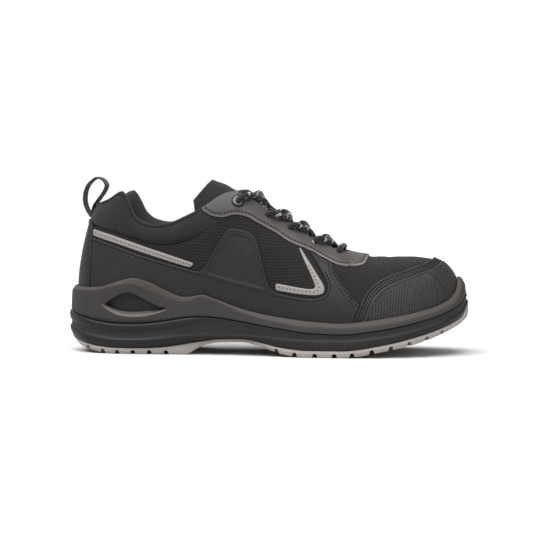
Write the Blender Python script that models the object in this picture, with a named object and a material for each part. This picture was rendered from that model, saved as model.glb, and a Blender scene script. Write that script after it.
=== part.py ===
"""Low safety shoe for the right foot, as separate solids in one frame.

All sizes are millimetres in the last's own frame: x from the heel's back to the toe, y across with the
outer side negative, z up from the floor. place() moves them to the part's frame, in metres.
"""
import math

import bmesh
import bpy
import numpy as np

MM = 0.001
LENGTH = 300.0
GAP = 0.3
WALL = 2.2
OVERLAY = 1.2
TRIM = 0.7
CUP_SLACK = 0.6
CUP_GAP = GAP + OVERLAY + CUP_SLACK
LIP = 1.3
STEP = 0.45
PAD_OUT = 2.4
PAD_IN = 4.5
EDGE_ROLL = 1.3
INSOLE_THICK = 4.0
LUG_DEPTH = 3.0
LUG_SLOT = 3.2
LUG_REACH = 24.0
LACE = 4.2
LOOP_WIDTH = 17.0
LOOP_THICK = 1.4
EYELET_HOLE = 3.2
EYELET_RING = 4.8
PUNCHED_HOLE = 2.5
EDGE_STEP = 2.5

# Plan of the sole: half widths to the outer (lateral) and inner (medial) side at each station.
OUTLINE_COLUMNS = ("station", "lateral", "medial")
OUTLINE = (
    (0.0, 0.0, 0.0),
    (5.1, 18.0, 18.0),
    (20.1, 32.0, 31.7),
    (43.9, 38.0, 37.5),
    (75.0, 38.7, 36.0),
    (111.2, 40.0, 34.0),
    (150.0, 45.0, 37.0),
    (188.8, 50.6, 45.0),
    (225.0, 50.0, 50.3),
    (256.1, 43.0, 48.5),
    (279.9, 30.0, 41.5),
    (294.9, 13.0, 28.0),
    (300.0, -7.0, 7.0),
)

# Heights of the lines that run round the sole's side.
LINE_COLUMNS = ("station", "rim", "facet", "groove", "bar", "rib", "seam", "tread")
LINES = (
    (0.0, 49.6, 46.0, 31.2, 25.4, 20.0, 14.8, 13.2),
    (12.0, 49.2, 46.2, 27.4, 21.8, 15.8, 8.4, 4.6),
    (25.0, 50.0, 46.9, 24.7, 19.4, 13.4, 5.9, 1.5),
    (38.0, 54.0, 49.9, 22.9, 17.6, 11.7, 4.8, 0.0),
    (50.0, 56.7, 51.4, 22.5, 17.3, 11.2, 4.6, 0.0),
    (62.0, 54.2, 47.9, 22.9, 17.8, 11.5, 4.7, 0.0),
    (75.0, 49.0, 43.1, 24.3, 19.2, 12.7, 5.5, 0.0),
    (93.0, 43.1, 38.8, 27.3, 21.4, 14.4, 8.0, 0.0),
    (99.0, 43.7, 41.0, 27.9, 23.6, 14.7, 9.2, 3.0),
    (106.0, 44.9, 43.5, 28.1, 26.4, 14.9, 10.3, 6.8),
    (118.0, 41.4, 39.8, 27.4, 26.2, 14.8, 12.1, 9.3),
    (135.0, 35.4, 32.8, 25.2, 24.3, 15.1, 12.5, 9.8),
    (150.0, 31.7, 28.2, 22.7, 21.9, 14.8, 10.2, 7.0),
    (165.0, 29.2, 25.3, 20.4, 19.7, 13.6, 7.0, 2.2),
    (185.0, 26.7, 22.4, 17.7, 17.0, 12.8, 5.3, 0.0),
    (210.0, 25.2, 21.5, 16.7, 16.0, 12.6, 5.3, 0.0),
    (238.0, 28.2, 23.9, 19.9, 19.2, 15.1, 9.0, 4.1),
    (266.0, 33.2, 29.3, 25.7, 25.0, 20.9, 15.6, 10.4),
    (281.0, 37.2, 33.7, 30.3, 29.6, 25.7, 20.5, 15.6),
    (291.0, 42.1, 38.3, 34.7, 34.0, 29.7, 24.8, 20.3),
    (296.5, 48.6, 43.4, 38.3, 37.5, 33.0, 28.6, 23.4),
    (299.0, 55.0, 49.2, 42.6, 41.8, 37.6, 33.4, 25.8),
    (300.0, 57.8, 51.8, 44.8, 43.9, 39.7, 35.6, 26.8),
)

# How far each band of the side stands out of the plan, or in.
BAND_COLUMNS = ("station", "tuck", "upper_bar", "lower_bar", "groove_in", "facet_in")
BANDS = (
    (0.0, 1.2, 1.1, 0.9, 0.0, 0.7),
    (30.0, 2.0, 1.1, 0.9, 0.0, 0.7),
    (75.0, 3.5, 1.0, 0.8, 0.0, 0.8),
    (106.0, 6.0, 0.3, -1.0, 0.0, 0.8),
    (130.0, 6.0, 0.2, -1.2, 0.0, 0.8),
    (165.0, 3.0, 0.2, -0.4, 0.0, 0.8),
    (210.0, 1.8, 0.2, 0.4, 0.0, 0.9),
    (266.0, 1.6, 0.2, 0.5, 0.0, 1.0),
    (291.0, 1.2, 0.2, 0.4, 0.2, 1.4),
    (300.0, 0.6, -1.4, -0.3, 2.0, 4.8),
)

# Where the upper stands on the cup's floor, and how its side starts from there.
BASE_COLUMNS = ("station", "inset", "floor", "lean", "reach")
BASE = (
    (0.0, 10.0, 27.0, 22.0, 25.0),
    (20.1, 10.0, 26.2, 22.0, 24.0),
    (43.9, 9.6, 24.8, 20.0, 22.0),
    (75.0, 9.0, 23.2, 17.0, 20.0),
    (111.2, 8.6, 20.2, 14.0, 19.0),
    (150.0, 9.4, 16.4, 15.0, 19.0),
    (188.8, 10.2, 13.4, 17.0, 20.0),
    (225.0, 10.3, 14.2, 19.0, 20.0),
    (256.1, 10.4, 19.6, 20.0, 21.0),
    (279.9, 10.8, 26.0, 21.0, 22.0),
    (294.9, 11.0, 29.2, 21.0, 22.5),
    (300.0, 11.0, 30.0, 21.0, 22.5),
)

# Top end of each section of the upper: the collar, the throat's edge, then the ridge of the vamp.
TOP_COLUMNS = ("station", "x", "half", "z", "lean", "reach", "collar")
TOP = (
    (0.0, 19.0, 0.0, 110.0, 17.0, 20.0, 15.0),
    (4.0, 22.5, 9.5, 111.0, 16.0, 20.0, 16.0),
    (12.0, 31.5, 17.5, 114.0, 14.0, 20.0, 21.0),
    (24.0, 42.5, 23.0, 119.6, 10.0, 20.0, 29.0),
    (33.0, 48.5, 26.0, 112.0, 8.0, 20.0, 24.0),
    (40.0, 52.5, 27.6, 103.4, 6.0, 20.0, 17.0),
    (49.0, 59.5, 29.4, 97.6, 5.0, 20.0, 13.0),
    (62.0, 70.0, 31.0, 95.4, 5.0, 20.0, 13.4),
    (77.0, 81.5, 31.0, 97.0, 8.0, 20.0, 15.3),
    (90.0, 92.0, 30.5, 101.6, 14.0, 22.0, 17.5),
    (100.0, 101.0, 29.4, 106.2, 20.0, 24.0, 19.0),
    (112.0, 110.5, 28.0, 112.0, 26.0, 26.0, 19.0),
    (120.0, 117.6, 26.5, 116.8, 31.0, 27.0, 18.0),
    (128.0, 125.0, 25.0, 120.0, 36.0, 28.0, 18.0),
    (134.0, 130.5, 24.0, 120.6, 41.0, 28.0, 18.0),
    (140.0, 135.5, 23.0, 117.8, 46.0, 28.0, 18.0),
    (150.0, 144.0, 21.5, 112.4, 55.0, 27.0, 18.0),
    (165.0, 158.0, 19.0, 101.8, 65.0, 26.0, 18.0),
    (180.0, 173.5, 17.0, 91.8, 71.0, 25.0, 18.0),
    (195.0, 188.0, 15.0, 83.3, 75.0, 25.0, 17.0),
    (208.0, 200.0, 13.0, 77.6, 78.0, 26.0, 16.0),
    (215.0, 206.0, 10.5, 75.6, 81.0, 27.0, 15.0),
    (219.0, 210.0, 6.5, 74.8, 84.0, 28.0, 15.0),
    (222.0, 212.5, 0.0, 74.4, 87.0, 29.0, 15.0),
    (230.0, 219.0, 0.0, 73.2, 90.0, 30.0, 15.0),
    (241.0, 230.0, 0.0, 72.1, 90.0, 30.0, 15.0),
    (252.0, 241.0, 0.0, 71.9, 90.0, 30.0, 15.0),
    (271.0, 257.0, 0.0, 72.0, 90.0, 27.0, 15.0),
    (280.0, 262.0, 0.0, 71.6, 90.0, 25.0, 15.0),
    (290.0, 265.5, 0.0, 71.1, 90.0, 21.0, 15.0),
    (300.0, 268.0, 0.0, 70.8, 90.0, 18.0, 15.0),
)
THROAT_FRONT = 222.0

# Stations of the sections between the two round ends, and the turn from one section to the next at the ends.
WALL_STATIONS = (35.0, 42.5, 50.0, 60.0, 71.0, 82.0, 93.0, 99.5, 106.0, 115.0, 123.5, 132.0)
WAIST_STATIONS = (143.0, 156.0, 169.0, 182.0, 195.0, 208.0, 216.5)
VAMP_STATIONS = (THROAT_FRONT, 233.0, 245.0, 258.0)
HEEL_TURN = 9.0
TOE_TURN = 7.2

# The padded tongue, from its sewn end under the vamp to its free top, whose wings sweep back round the ankle.
TONGUE_COLUMNS = ("x", "z", "half", "drop", "thick", "sweep")
TONGUE = (
    (226.0, 67.6, 10.0, 3.0, 3.0, 0.0),
    (213.0, 69.8, 15.0, 5.5, 3.5, 0.0),
    (200.0, 74.4, 19.5, 7.5, 4.0, 0.0),
    (188.0, 80.3, 22.5, 9.0, 4.5, 0.0),
    (173.0, 88.8, 24.5, 11.5, 5.0, 0.0),
    (158.0, 98.8, 25.5, 13.5, 5.5, 0.0),
    (144.0, 109.4, 25.5, 15.0, 6.0, 1.0),
    (133.0, 116.6, 24.0, 18.0, 6.8, 4.0),
    (123.0, 121.8, 21.5, 24.0, 7.2, 7.0),
    (114.0, 126.4, 20.0, 28.0, 7.2, 9.0),
    (108.6, 127.8, 19.5, 29.0, 5.0, 10.5),
)

# Borders of the overlays as they run along the shoe's side.
BORDER_COLUMNS = ("x", "z")
CAP_BORDER = (
    (217.0, 20.0),
    (220.6, 30.6),
    (223.8, 39.3),
    (226.9, 45.8),
    (231.2, 50.9),
    (237.5, 55.5),
    (244.6, 58.7),
    (258.4, 63.4),
    (268.4, 67.0),
    (273.0, 69.6),
    (275.0, 73.0),
    (275.6, 78.0),
)
EYESTAY_BORDER = (
    (101.0, 111.0),
    (107.3, 105.6),
    (113.9, 102.4),
    (120.0, 101.6),
    (130.1, 103.6),
    (138.5, 102.2),
    (147.8, 97.0),
    (158.9, 90.9),
    (169.9, 83.8),
    (184.7, 77.4),
    (199.4, 69.5),
    (206.8, 66.5),
    (215.0, 65.5),
    (222.3, 66.4),
    (225.4, 69.0),
    (226.4, 73.0),
)
FOXING_TOP = (
    (20.3, 85.6),
    (39.8, 80.0),
    (59.1, 73.1),
    (82.0, 66.7),
    (104.0, 61.2),
    (109.0, 66.0),
    (123.0, 91.0),
    (128.5, 94.2),
    (142.0, 90.6),
    (147.0, 86.0),
    (155.5, 53.0),
    (160.0, 46.8),
    (179.1, 43.0),
    (191.0, 42.1),
    (197.6, 44.6),
    (199.8, 49.2),
    (199.0, 53.6),
    (195.4, 60.1),
    (187.0, 73.2),
)
VAMP_SEAM = (
    (202.6, 67.2),
    (202.9, 63.0),
    (207.9, 55.6),
    (215.2, 46.2),
    (221.4, 39.6),
)
HEEL_STRIP_TOP = (
    (20.3, 91.8),
    (35.3, 88.3),
    (58.5, 80.8),
    (81.4, 73.5),
    (99.8, 67.6),
)
HEEL_STRIP_LOW = (
    (20.3, 86.9),
    (35.3, 83.3),
    (58.5, 75.8),
    (81.4, 68.8),
    (97.0, 64.4),
)
CORNER_STRIP_IN = (
    (161.3, 53.7),
    (179.0, 50.4),
    (187.5, 49.3),
    (190.5, 50.4),
    (189.6, 54.4),
    (182.7, 67.9),
    (177.0, 79.4),
)
CORNER_STRIP_OUT = (
    (161.3, 48.6),
    (171.6, 46.9),
    (182.7, 45.4),
    (192.0, 44.9),
    (196.6, 46.6),
    (197.4, 50.0),
    (195.6, 54.0),
    (187.9, 65.1),
    (178.4, 79.0),
)
BACKSTAY_FRONT = 19.6
BACKSTAY_TOP = 99.0

# The eye-shaped window in the heel wall: its edge at the wall's outside and at its inside.
WINDOW_COLUMNS = ("x", "top", "low")
WINDOW = (
    (32.5, 37.0, 36.6),
    (36.6, 40.0, 34.6),
    (40.4, 42.3, 33.2),
    (45.0, 44.5, 32.0),
    (50.5, 45.5, 31.4),
    (56.0, 44.1, 31.4),
    (62.0, 41.2, 31.9),
    (68.0, 38.3, 32.7),
    (75.5, 34.9, 34.3),
)
WINDOW_FLARE = 1.12
WINDOW_DROP = 0.9

# The pull loop's closed path: from its seat over the backstay up the outer strand and back down the inner one.
LOOP_COLUMNS = ("x", "z")
LOOP = (
    (13.8, 100.4),
    (11.6, 104.3),
    (9.8, 108.4),
    (9.0, 113.5),
    (10.2, 120.5),
    (14.0, 126.6),
    (19.6, 130.6),
    (25.0, 129.0),
    (27.4, 124.6),
    (25.4, 119.6),
    (21.2, 114.2),
    (17.4, 109.0),
    (15.2, 104.6),
)

# Lace holes on one side, at their places along the shoe's side.
HOLE_COLUMNS = ("x", "z")
HOLES = (
    (131.6, 113.0),
    (152.8, 102.4),
    (168.9, 92.8),
    (186.8, 82.2),
    (204.4, 74.8),
)

# Slots between the lugs, by station, and the middle lugs' slots.
HEEL_SLOTS = (17.7, 30.0, 41.5, 53.6, 66.0, 78.5)
FRONT_SLOTS = (161.5, 175.5, 191.0, 205.4, 218.4, 233.0, 247.0, 260.0, 272.5, 283.0)
MIDDLE_SLOTS = (47.0, 60.0, 72.0, 169.0, 183.5, 198.5, 212.0, 226.0, 240.0, 254.0)

MATERIALS = {
    "sole_rubber": ((0.42, 0.39, 0.37), 0.75, 0.0),
    "midsole_foam": ((0.055, 0.052, 0.051), 0.6, 0.0),
    "knit_fabric": ((0.022, 0.021, 0.021), 0.9, 0.0),
    "smooth_synthetic": ((0.04, 0.038, 0.038), 0.55, 0.0),
    "eyestay_synthetic": ((0.12, 0.115, 0.112), 0.6, 0.0),
    "cap_rubber": ((0.045, 0.043, 0.043), 0.55, 0.0),
    "reflective_trim": ((0.48, 0.46, 0.44), 0.4, 0.0),
    "webbing": ((0.02, 0.019, 0.019), 0.85, 0.0),
    "footbed_foam": ((0.05, 0.05, 0.05), 0.9, 0.0),
    "lace_cord": ((0.03, 0.03, 0.03), 0.85, 0.0),
    "eyelet_metal": ((0.2, 0.2, 0.2), 0.35, 1.0),
}


def angle_of(station):
    """Angle from the heel's back, 0, to the toe, 180, at which a station lies."""
    return np.degrees(np.arccos(np.clip(1 - 2 * np.asarray(station, float) / LENGTH, -1, 1)))


def station_at(angle):
    return LENGTH / 2 * (1 - np.cos(np.radians(angle)))


def smooth(x, y, at, level=False):
    """Smooth curve through the rows that never overshoots them, level at both ends if asked."""
    x = np.asarray(x, float)
    y = np.asarray(y, float)
    h = np.diff(x)
    d = np.diff(y) / h
    slope = np.zeros_like(y)
    same = d[:-1] * d[1:] > 0
    w1 = 2 * h[1:] + h[:-1]
    w2 = h[1:] + 2 * h[:-1]
    left = np.where(same, d[:-1], 1.0)
    right = np.where(same, d[1:], 1.0)
    slope[1:-1] = np.where(same, (w1 + w2) / (w1 / left + w2 / right), 0.0)
    if not level:
        slope[0] = d[0]
        slope[-1] = d[-1]
    at = np.clip(np.asarray(at, float), x[0], x[-1])
    i = np.clip(np.searchsorted(x, at) - 1, 0, len(x) - 2)
    t = (at - x[i]) / h[i]
    a = (1 + 2 * t) * (1 - t) ** 2 * y[i] + t * (1 - t) ** 2 * h[i] * slope[i]
    b = t * t * (3 - 2 * t) * y[i + 1] + t * t * (t - 1) * h[i] * slope[i + 1]
    return a + b


def column(columns, rows, name):
    return np.array([row[columns.index(name)] for row in rows], float)


def along(columns, rows, name, angle):
    """A table's column at an angle round the shoe."""
    level = name not in ("lateral", "medial", "half")
    return smooth(angle_of(column(columns, rows, "station")), column(columns, rows, name), angle, level)


def fold(phi):
    """Angle along one side and which side: -1 is the outer side, 1 the inner side."""
    phi = np.mod(np.asarray(phi, float), 360.0)
    return np.where(phi <= 180, phi, 360 - phi), np.where(phi <= 180, -1.0, 1.0)


def plan(phi):
    """Point on the sole's plan, going round from the heel by the outer side."""
    angle, side = fold(phi)
    lateral = along(OUTLINE_COLUMNS, OUTLINE, "lateral", angle)
    medial = along(OUTLINE_COLUMNS, OUTLINE, "medial", angle)
    return np.stack([station_at(angle), np.where(side < 0, -lateral, medial)], -1)


def plan_normal(phi):
    """Outward direction of the sole's plan."""
    d = plan(np.asarray(phi, float) + 2.0) - plan(np.asarray(phi, float) - 2.0)
    d = d / np.linalg.norm(d, axis=-1, keepdims=True)
    return np.stack([d[..., 1], -d[..., 0]], -1)


def ridge_y(x):
    """Middle line of the last, which swings to the inner side at the toe."""
    return 5.0 * np.clip((np.asarray(x, float) - 140.0) / 130.0, 0, 1) ** 1.5


def bare(phi, v):
    """The upper's outside before padding: one curve from floor to top at each angle."""
    phi, v = np.broadcast_arrays(np.asarray(phi, float), np.asarray(v, float))
    angle, side = fold(phi)
    out = plan_normal(phi)
    lean = np.radians(along(BASE_COLUMNS, BASE, "lean", angle))
    reach = along(BASE_COLUMNS, BASE, "reach", angle)
    foot = plan(phi) - out * along(BASE_COLUMNS, BASE, "inset", angle)[..., None]
    p0 = np.concatenate([foot, (along(BASE_COLUMNS, BASE, "floor", angle) + GAP)[..., None]], -1)
    rise = np.concatenate([out * np.sin(lean)[..., None], np.cos(lean)[..., None]], -1)
    p1 = p0 + rise * reach[..., None]
    x = along(TOP_COLUMNS, TOP, "x", angle)
    y = ridge_y(x) + side * along(TOP_COLUMNS, TOP, "half", angle)
    p3 = np.stack([x, y, along(TOP_COLUMNS, TOP, "z", angle)], -1)
    tilt = np.radians(along(TOP_COLUMNS, TOP, "lean", angle))
    into = np.concatenate([-out * np.sin(tilt)[..., None], np.cos(tilt)[..., None]], -1)
    p2 = p3 - into * along(TOP_COLUMNS, TOP, "reach", angle)[..., None]
    t = v[..., None]
    return (1 - t) ** 3 * p0 + 3 * t * (1 - t) ** 2 * p1 + 3 * t * t * (1 - t) * p2 + t ** 3 * p3


def bare_normal(phi, v):
    phi = np.asarray(phi, float)
    v = np.asarray(v, float)
    low = np.clip(v - 0.02, 0, 1)
    high = np.clip(v + 0.02, 0, 1)
    round_shoe = bare(phi + 1.5, v * 0.98) - bare(phi - 1.5, v * 0.98)
    up = bare(phi, high) - bare(phi, low)
    n = np.cross(round_shoe, up)
    return n / np.maximum(np.linalg.norm(n, axis=-1, keepdims=True), 1e-9)


def height_share(phi, z):
    """Share of the way up the section at which the outside reaches height z."""
    low = np.zeros(np.shape(phi))
    high = np.ones(np.shape(phi))
    for _ in range(22):
        mid = (low + high) / 2
        above = bare(phi, mid)[..., 2] > z
        high = np.where(above, mid, high)
        low = np.where(above, low, mid)
    return (low + high) / 2


def seam_shares(phi):
    """Share at which the collar's pad begins, worked out at each angle given."""
    angle, _ = fold(phi)
    top = along(TOP_COLUMNS, TOP, "z", angle)
    return height_share(phi, top - along(TOP_COLUMNS, TOP, "collar", angle))


SEAM_ANGLES = np.linspace(0.0, 360.0, 721)
SEAM_SHARES = seam_shares(SEAM_ANGLES)


def collar_share(phi):
    """Share at which the collar's pad begins."""
    return np.interp(np.mod(phi, 360.0), SEAM_ANGLES, SEAM_SHARES)


def pad_weight(phi):
    """1 round the collar, 0 along the throat and vamp, and less at the heel's middle."""
    angle, _ = fold(phi)
    x = station_at(angle)
    return np.clip((118.0 - x) / 30.0, 0, 1) * (0.45 + 0.55 * np.clip(x / 8.0, 0, 1))


def outside(phi, v, offset=0.0):
    """The upper's outside with the collar's pad, moved out by an offset."""
    phi, v = np.broadcast_arrays(np.asarray(phi, float), np.asarray(v, float))
    start = collar_share(phi)
    share = np.clip((v - start) / (1 - start), 0, 1)
    puff = PAD_OUT * pad_weight(phi) * np.sin(np.pi * share ** 0.75)
    return bare(phi, v) + bare_normal(phi, v) * (puff + offset)[..., None]


def inside(phi, v, offset=0.0):
    """The upper's inside, thicker where the collar is padded."""
    phi, v = np.broadcast_arrays(np.asarray(phi, float), np.asarray(v, float))
    start = collar_share(phi) - 0.12
    share = np.clip((v - start) / (1 - start), 0, 1)
    puff = PAD_IN * pad_weight(phi) * np.sin(np.pi * 0.88 * share) ** 0.8
    return bare(phi, v) - bare_normal(phi, v) * (WALL + puff + offset)[..., None]


def ring_angles():
    """Angles of the sections: even turns at both ends, stations between, closer where the heel wall waves."""
    heel = station_at(np.arange(0.0, 37.0, HEEL_TURN))
    toe = station_at(np.arange(144.0, 181.0, TOE_TURN))
    half = angle_of(np.concatenate([heel, WALL_STATIONS, WAIST_STATIONS, VAMP_STATIONS, toe]))
    return np.concatenate([half, 360 - half[-2:0:-1]]), len(half)


RING, SIDE_COUNT = ring_angles()
RING_COUNT = len(RING)


def place(p):
    """From the last's frame in millimetres to the part's frame in metres."""
    p = np.asarray(p, float)
    return (p - np.array([LENGTH / 2, 0.0, 0.0])) * MM


def material(name):
    made = bpy.data.materials.get(name)
    if made is None:
        colour, rough, metal = MATERIALS[name]
        made = bpy.data.materials.new(name)
        made.use_nodes = True
        shader = made.node_tree.nodes["Principled BSDF"]
        shader.inputs["Base Color"].default_value = (*colour, 1.0)
        shader.inputs["Roughness"].default_value = rough
        shader.inputs["Metallic"].default_value = metal
        made.diffuse_color = (*colour, 1.0)
    return made


def solid(name, points, faces, slot=None):
    """Mesh object from points in the last's frame, with its faces turned outward."""
    mesh = bpy.data.meshes.new(name)
    mesh.from_pydata(place(points).tolist(), [], [list(f) for f in faces])
    made = bpy.data.objects.new(name, mesh)
    bpy.context.scene.collection.objects.link(made)
    work = bmesh.new()
    work.from_mesh(mesh)
    bmesh.ops.remove_doubles(work, verts=work.verts, dist=1e-6)
    bmesh.ops.recalc_face_normals(work, faces=work.faces)
    work.to_mesh(mesh)
    work.free()
    if slot:
        mesh.materials.append(material(slot))
    return made


class Net:
    """Collects points and faces for one solid."""

    def __init__(self):
        self.points = []
        self.faces = []

    def row(self, points):
        start = len(self.points)
        self.points.extend(np.asarray(points, float).tolist())
        return list(range(start, len(self.points)))

    def strip(self, a, b, closed=True):
        count = len(a)
        for i in range(count if closed else count - 1):
            j = (i + 1) % count
            face = [a[i], a[j], b[j], b[i]]
            kept = [k for n, k in enumerate(face) if k != face[n - 1]]
            if len(kept) > 2:
                self.faces.append(kept)

    def floor(self, row):
        """Strips across the middle line between the two sides of a ring row."""
        for i in range(SIDE_COUNT - 1):
            a, b = row[i], row[i + 1]
            c, d = row[-(i + 1) % RING_COUNT], row[-i % RING_COUNT]
            face = [a, b, c, d]
            kept = [k for n, k in enumerate(face) if k != face[n - 1]]
            if len(kept) > 2:
                self.faces.append(kept)


def wall_points(z, out):
    """Ring of points at heights z, out from the sole's plan."""
    at = plan(RING) + plan_normal(RING) * np.asarray(out, float)[..., None]
    return np.concatenate([at, np.broadcast_to(z, RING.shape)[..., None]], -1)


def line(name):
    return along(LINE_COLUMNS, LINES, name, fold(RING)[0])


def band(name):
    return along(BAND_COLUMNS, BANDS, name, fold(RING)[0])


def midsole():
    net = Net()
    seam, rib, bar, groove, facet, rim = (line(n) for n in ("seam", "rib", "bar", "groove", "facet", "rim"))
    tuck, low, high = band("tuck"), band("lower_bar"), band("upper_bar")
    groove_in, facet_in = band("groove_in"), band("facet_in")
    rows = [
        (seam, -tuck),
        (seam + 0.4 * (rib - seam), low - 0.25 * tuck),
        (rib - STEP, low),
        (rib + STEP, np.minimum(low - 0.9, -0.35) - groove_in * 0.3),
        (bar - STEP, -0.35 - groove_in * 0.8),
        (bar + STEP * 0.4, high),
        (groove - STEP * 0.4, high),
        (groove + STEP, -groove_in),
        (facet, -facet_in),
    ]
    rings = [net.row(wall_points(z, out)) for z, out in rows]
    share = height_share(RING, rim)
    inner = outside(RING, share, CUP_GAP)
    inner[:, 2] = rim
    lip = inner.copy()
    lip[:, :2] += plan_normal(RING) * LIP
    lip[:, 2] -= 0.25
    rings.append(net.row(lip))
    rings.append(net.row(inner))
    for part in (0.66, 0.3):
        rings.append(net.row(outside(RING, share * part, CUP_GAP)))
    angle = fold(RING)[0]
    foot = plan(RING) - plan_normal(RING) * (along(BASE_COLUMNS, BASE, "inset", angle) - CUP_GAP)[:, None]
    floor = along(BASE_COLUMNS, BASE, "floor", angle)
    rings.append(net.row(np.concatenate([foot, floor[:, None]], -1)))
    for a, b in zip(rings, rings[1:]):
        net.strip(a, b)
    net.floor(rings[-1])
    net.floor(rings[0])
    made = solid("midsole", net.points, net.faces, "midsole_foam")
    cut(made, window_cutter(), "DIFFERENCE")
    return made


def window_cutter():
    """Tapered plugs through the heel wall on both sides."""
    x = column(WINDOW_COLUMNS, WINDOW, "x")
    top = column(WINDOW_COLUMNS, WINDOW, "top")
    low = column(WINDOW_COLUMNS, WINDOW, "low")
    edge = np.concatenate([np.stack([x, low], -1), np.stack([x, top], -1)[::-1]])
    middle = edge.mean(0)
    wide = middle + (edge - middle) * WINDOW_FLARE + np.array([0.0, -WINDOW_DROP])
    points = []
    faces = []
    count = len(edge)
    for side in (-1.0, 1.0):
        start = len(points)
        for depth, loop in ((27.0, edge), (33.5, edge), (42.0, wide)):
            points.extend([(px, side * depth, pz) for px, pz in loop])
        for layer in (0, 1):
            for i in range(count):
                j = (i + 1) % count
                a = start + layer * count
                faces.append((a + i, a + j, a + count + j, a + count + i))
        faces.append(tuple(range(start, start + count)))
        faces.append(tuple(range(start + 2 * count, start + 3 * count)))
    return cutter("window_cutter", points, faces)


def cutter(name, points, faces):
    made = solid(name, points, faces)
    work = bmesh.new()
    work.from_mesh(made.data)
    bmesh.ops.triangulate(work, faces=work.faces, ngon_method="EAR_CLIP")
    work.to_mesh(made.data)
    work.free()
    made.hide_render = True
    made.display_type = "WIRE"
    return made


def cut(target, tool, operation):
    """Boolean with a cutter, worked out at once, and the cutter taken away."""
    step = target.modifiers.new("cut", "BOOLEAN")
    step.object = tool
    step.operation = operation
    step.solver = "EXACT"
    bpy.context.view_layer.update()
    graph = bpy.context.evaluated_depsgraph_get()
    mesh = bpy.data.meshes.new_from_object(target.evaluated_get(graph))
    target.modifiers.clear()
    target.data = mesh
    bpy.data.objects.remove(tool, do_unlink=True)
    tidy(target)


def tidy(target):
    """Joins doubled points and drops slivers left by a cut."""
    work = bmesh.new()
    work.from_mesh(target.data)
    bmesh.ops.remove_doubles(work, verts=work.verts, dist=2e-6)
    bmesh.ops.dissolve_degenerate(work, edges=work.edges, dist=2e-6)
    flat = math.radians(0.3)
    bmesh.ops.dissolve_limit(work, angle_limit=flat, verts=work.verts, edges=work.edges)
    bmesh.ops.triangulate(work, faces=work.faces)
    bmesh.ops.recalc_face_normals(work, faces=work.faces)
    work.to_mesh(target.data)
    work.free()


def outsole():
    net = Net()
    seam, tread, tuck = line("seam"), line("tread"), band("tuck")
    top = net.row(wall_points(seam - GAP, -tuck))
    lip = net.row(wall_points(seam - GAP - 0.35 * (seam - tread), 0.5 - tuck))
    low = net.row(wall_points(tread, -tuck - 0.8))
    net.strip(top, lip)
    net.strip(lip, low)
    net.floor(top)
    net.floor(low)
    made = solid("outsole", net.points, net.faces, "sole_rubber")
    cut(made, slot_cutter(), "DIFFERENCE")
    return made


def slot_cutter():
    """Boxes for the slots between the lugs, at both edges and in the middle."""
    points = []
    faces = []
    sides = ((0, 1, 3, 2), (4, 5, 7, 6), (0, 1, 5, 4), (2, 3, 7, 6), (0, 2, 6, 4), (1, 3, 7, 5))

    def box(at, into, length, start):
        across = np.array([-into[1], into[0]])
        base = len(points)
        ground = smooth(column(LINE_COLUMNS, LINES, "station"), column(LINE_COLUMNS, LINES, "tread"), at[0])
        for z in (ground - 4.0, ground + LUG_DEPTH):
            for reach in (start, length):
                for half in (-LUG_SLOT / 2, LUG_SLOT / 2):
                    points.append((*(at + into * reach + across * half), z))
        faces.extend([tuple(base + k for k in f) for f in sides])

    for station in HEEL_SLOTS + FRONT_SLOTS:
        for phi in (angle_of(station), 360 - angle_of(station)):
            box(plan(phi), -plan_normal(phi), LUG_REACH, -4.0)
    for station in MIDDLE_SLOTS:
        for side in (-1.0, 1.0):
            into = np.array([math.cos(math.radians(125.0)), side * math.sin(math.radians(125.0))])
            box(np.array([station + 4.0, float(ridge_y(station))]), into, 13.0, 2.4)
    return cutter("slot_cutter", points, faces)


def section_shares(phi, below=(0.0, 0.2, 0.45, 0.72, 1.0), above=(0.36, 0.75, 1.0)):
    """Rows from floor to top: shares of the way to the collar's seam, then from there to the top."""
    seam = collar_share(phi)
    return [seam * part for part in below] + [seam + (1 - seam) * part for part in above]


ON_RIDGE = np.abs(RING - 180) <= 180 - angle_of(THROAT_FRONT) + 1e-6


def joined(row):
    """A top row with its two sides brought together along the ridge."""
    twin = row[-np.arange(RING_COUNT) % RING_COUNT]
    return np.where(ON_RIDGE[:, None], (row + twin) / 2, row)


def upper():
    net = Net()
    out_rows = [outside(RING, v) for v in section_shares(RING)]
    in_rows = [inside(RING, v) for v in section_shares(RING, (0.0, 0.4, 0.8), (0.25, 0.65, 1.0))]
    out_rows[-1] = joined(out_rows[-1])
    in_rows[-1] = joined(in_rows[-1])
    crown = (out_rows[-1] + in_rows[-1]) / 2
    crown[:, 2] += np.where(ON_RIDGE, 0.0, EDGE_ROLL)
    crown[ON_RIDGE] = out_rows[-1][ON_RIDGE]
    rings = [net.row(r) for r in out_rows]
    crown_row = net.row(crown)
    back = [net.row(r) for r in in_rows]
    for a, b in zip(rings, rings[1:]):
        net.strip(a, b)
    for a, b in zip(back, back[1:]):
        net.strip(a, b)
    net.strip(rings[0], back[0])
    for i in range(RING_COUNT):
        j = (i + 1) % RING_COUNT
        if ON_RIDGE[i] and ON_RIDGE[j]:
            continue
        net.faces.append((rings[-1][i], rings[-1][j], crown_row[j], crown_row[i]))
        net.faces.append((crown_row[i], crown_row[j], back[-1][j], back[-1][i]))
    made = solid("upper", net.points, net.faces, "knit_fabric")
    cut(made, hole_cutter(), "DIFFERENCE")
    return made


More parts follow.
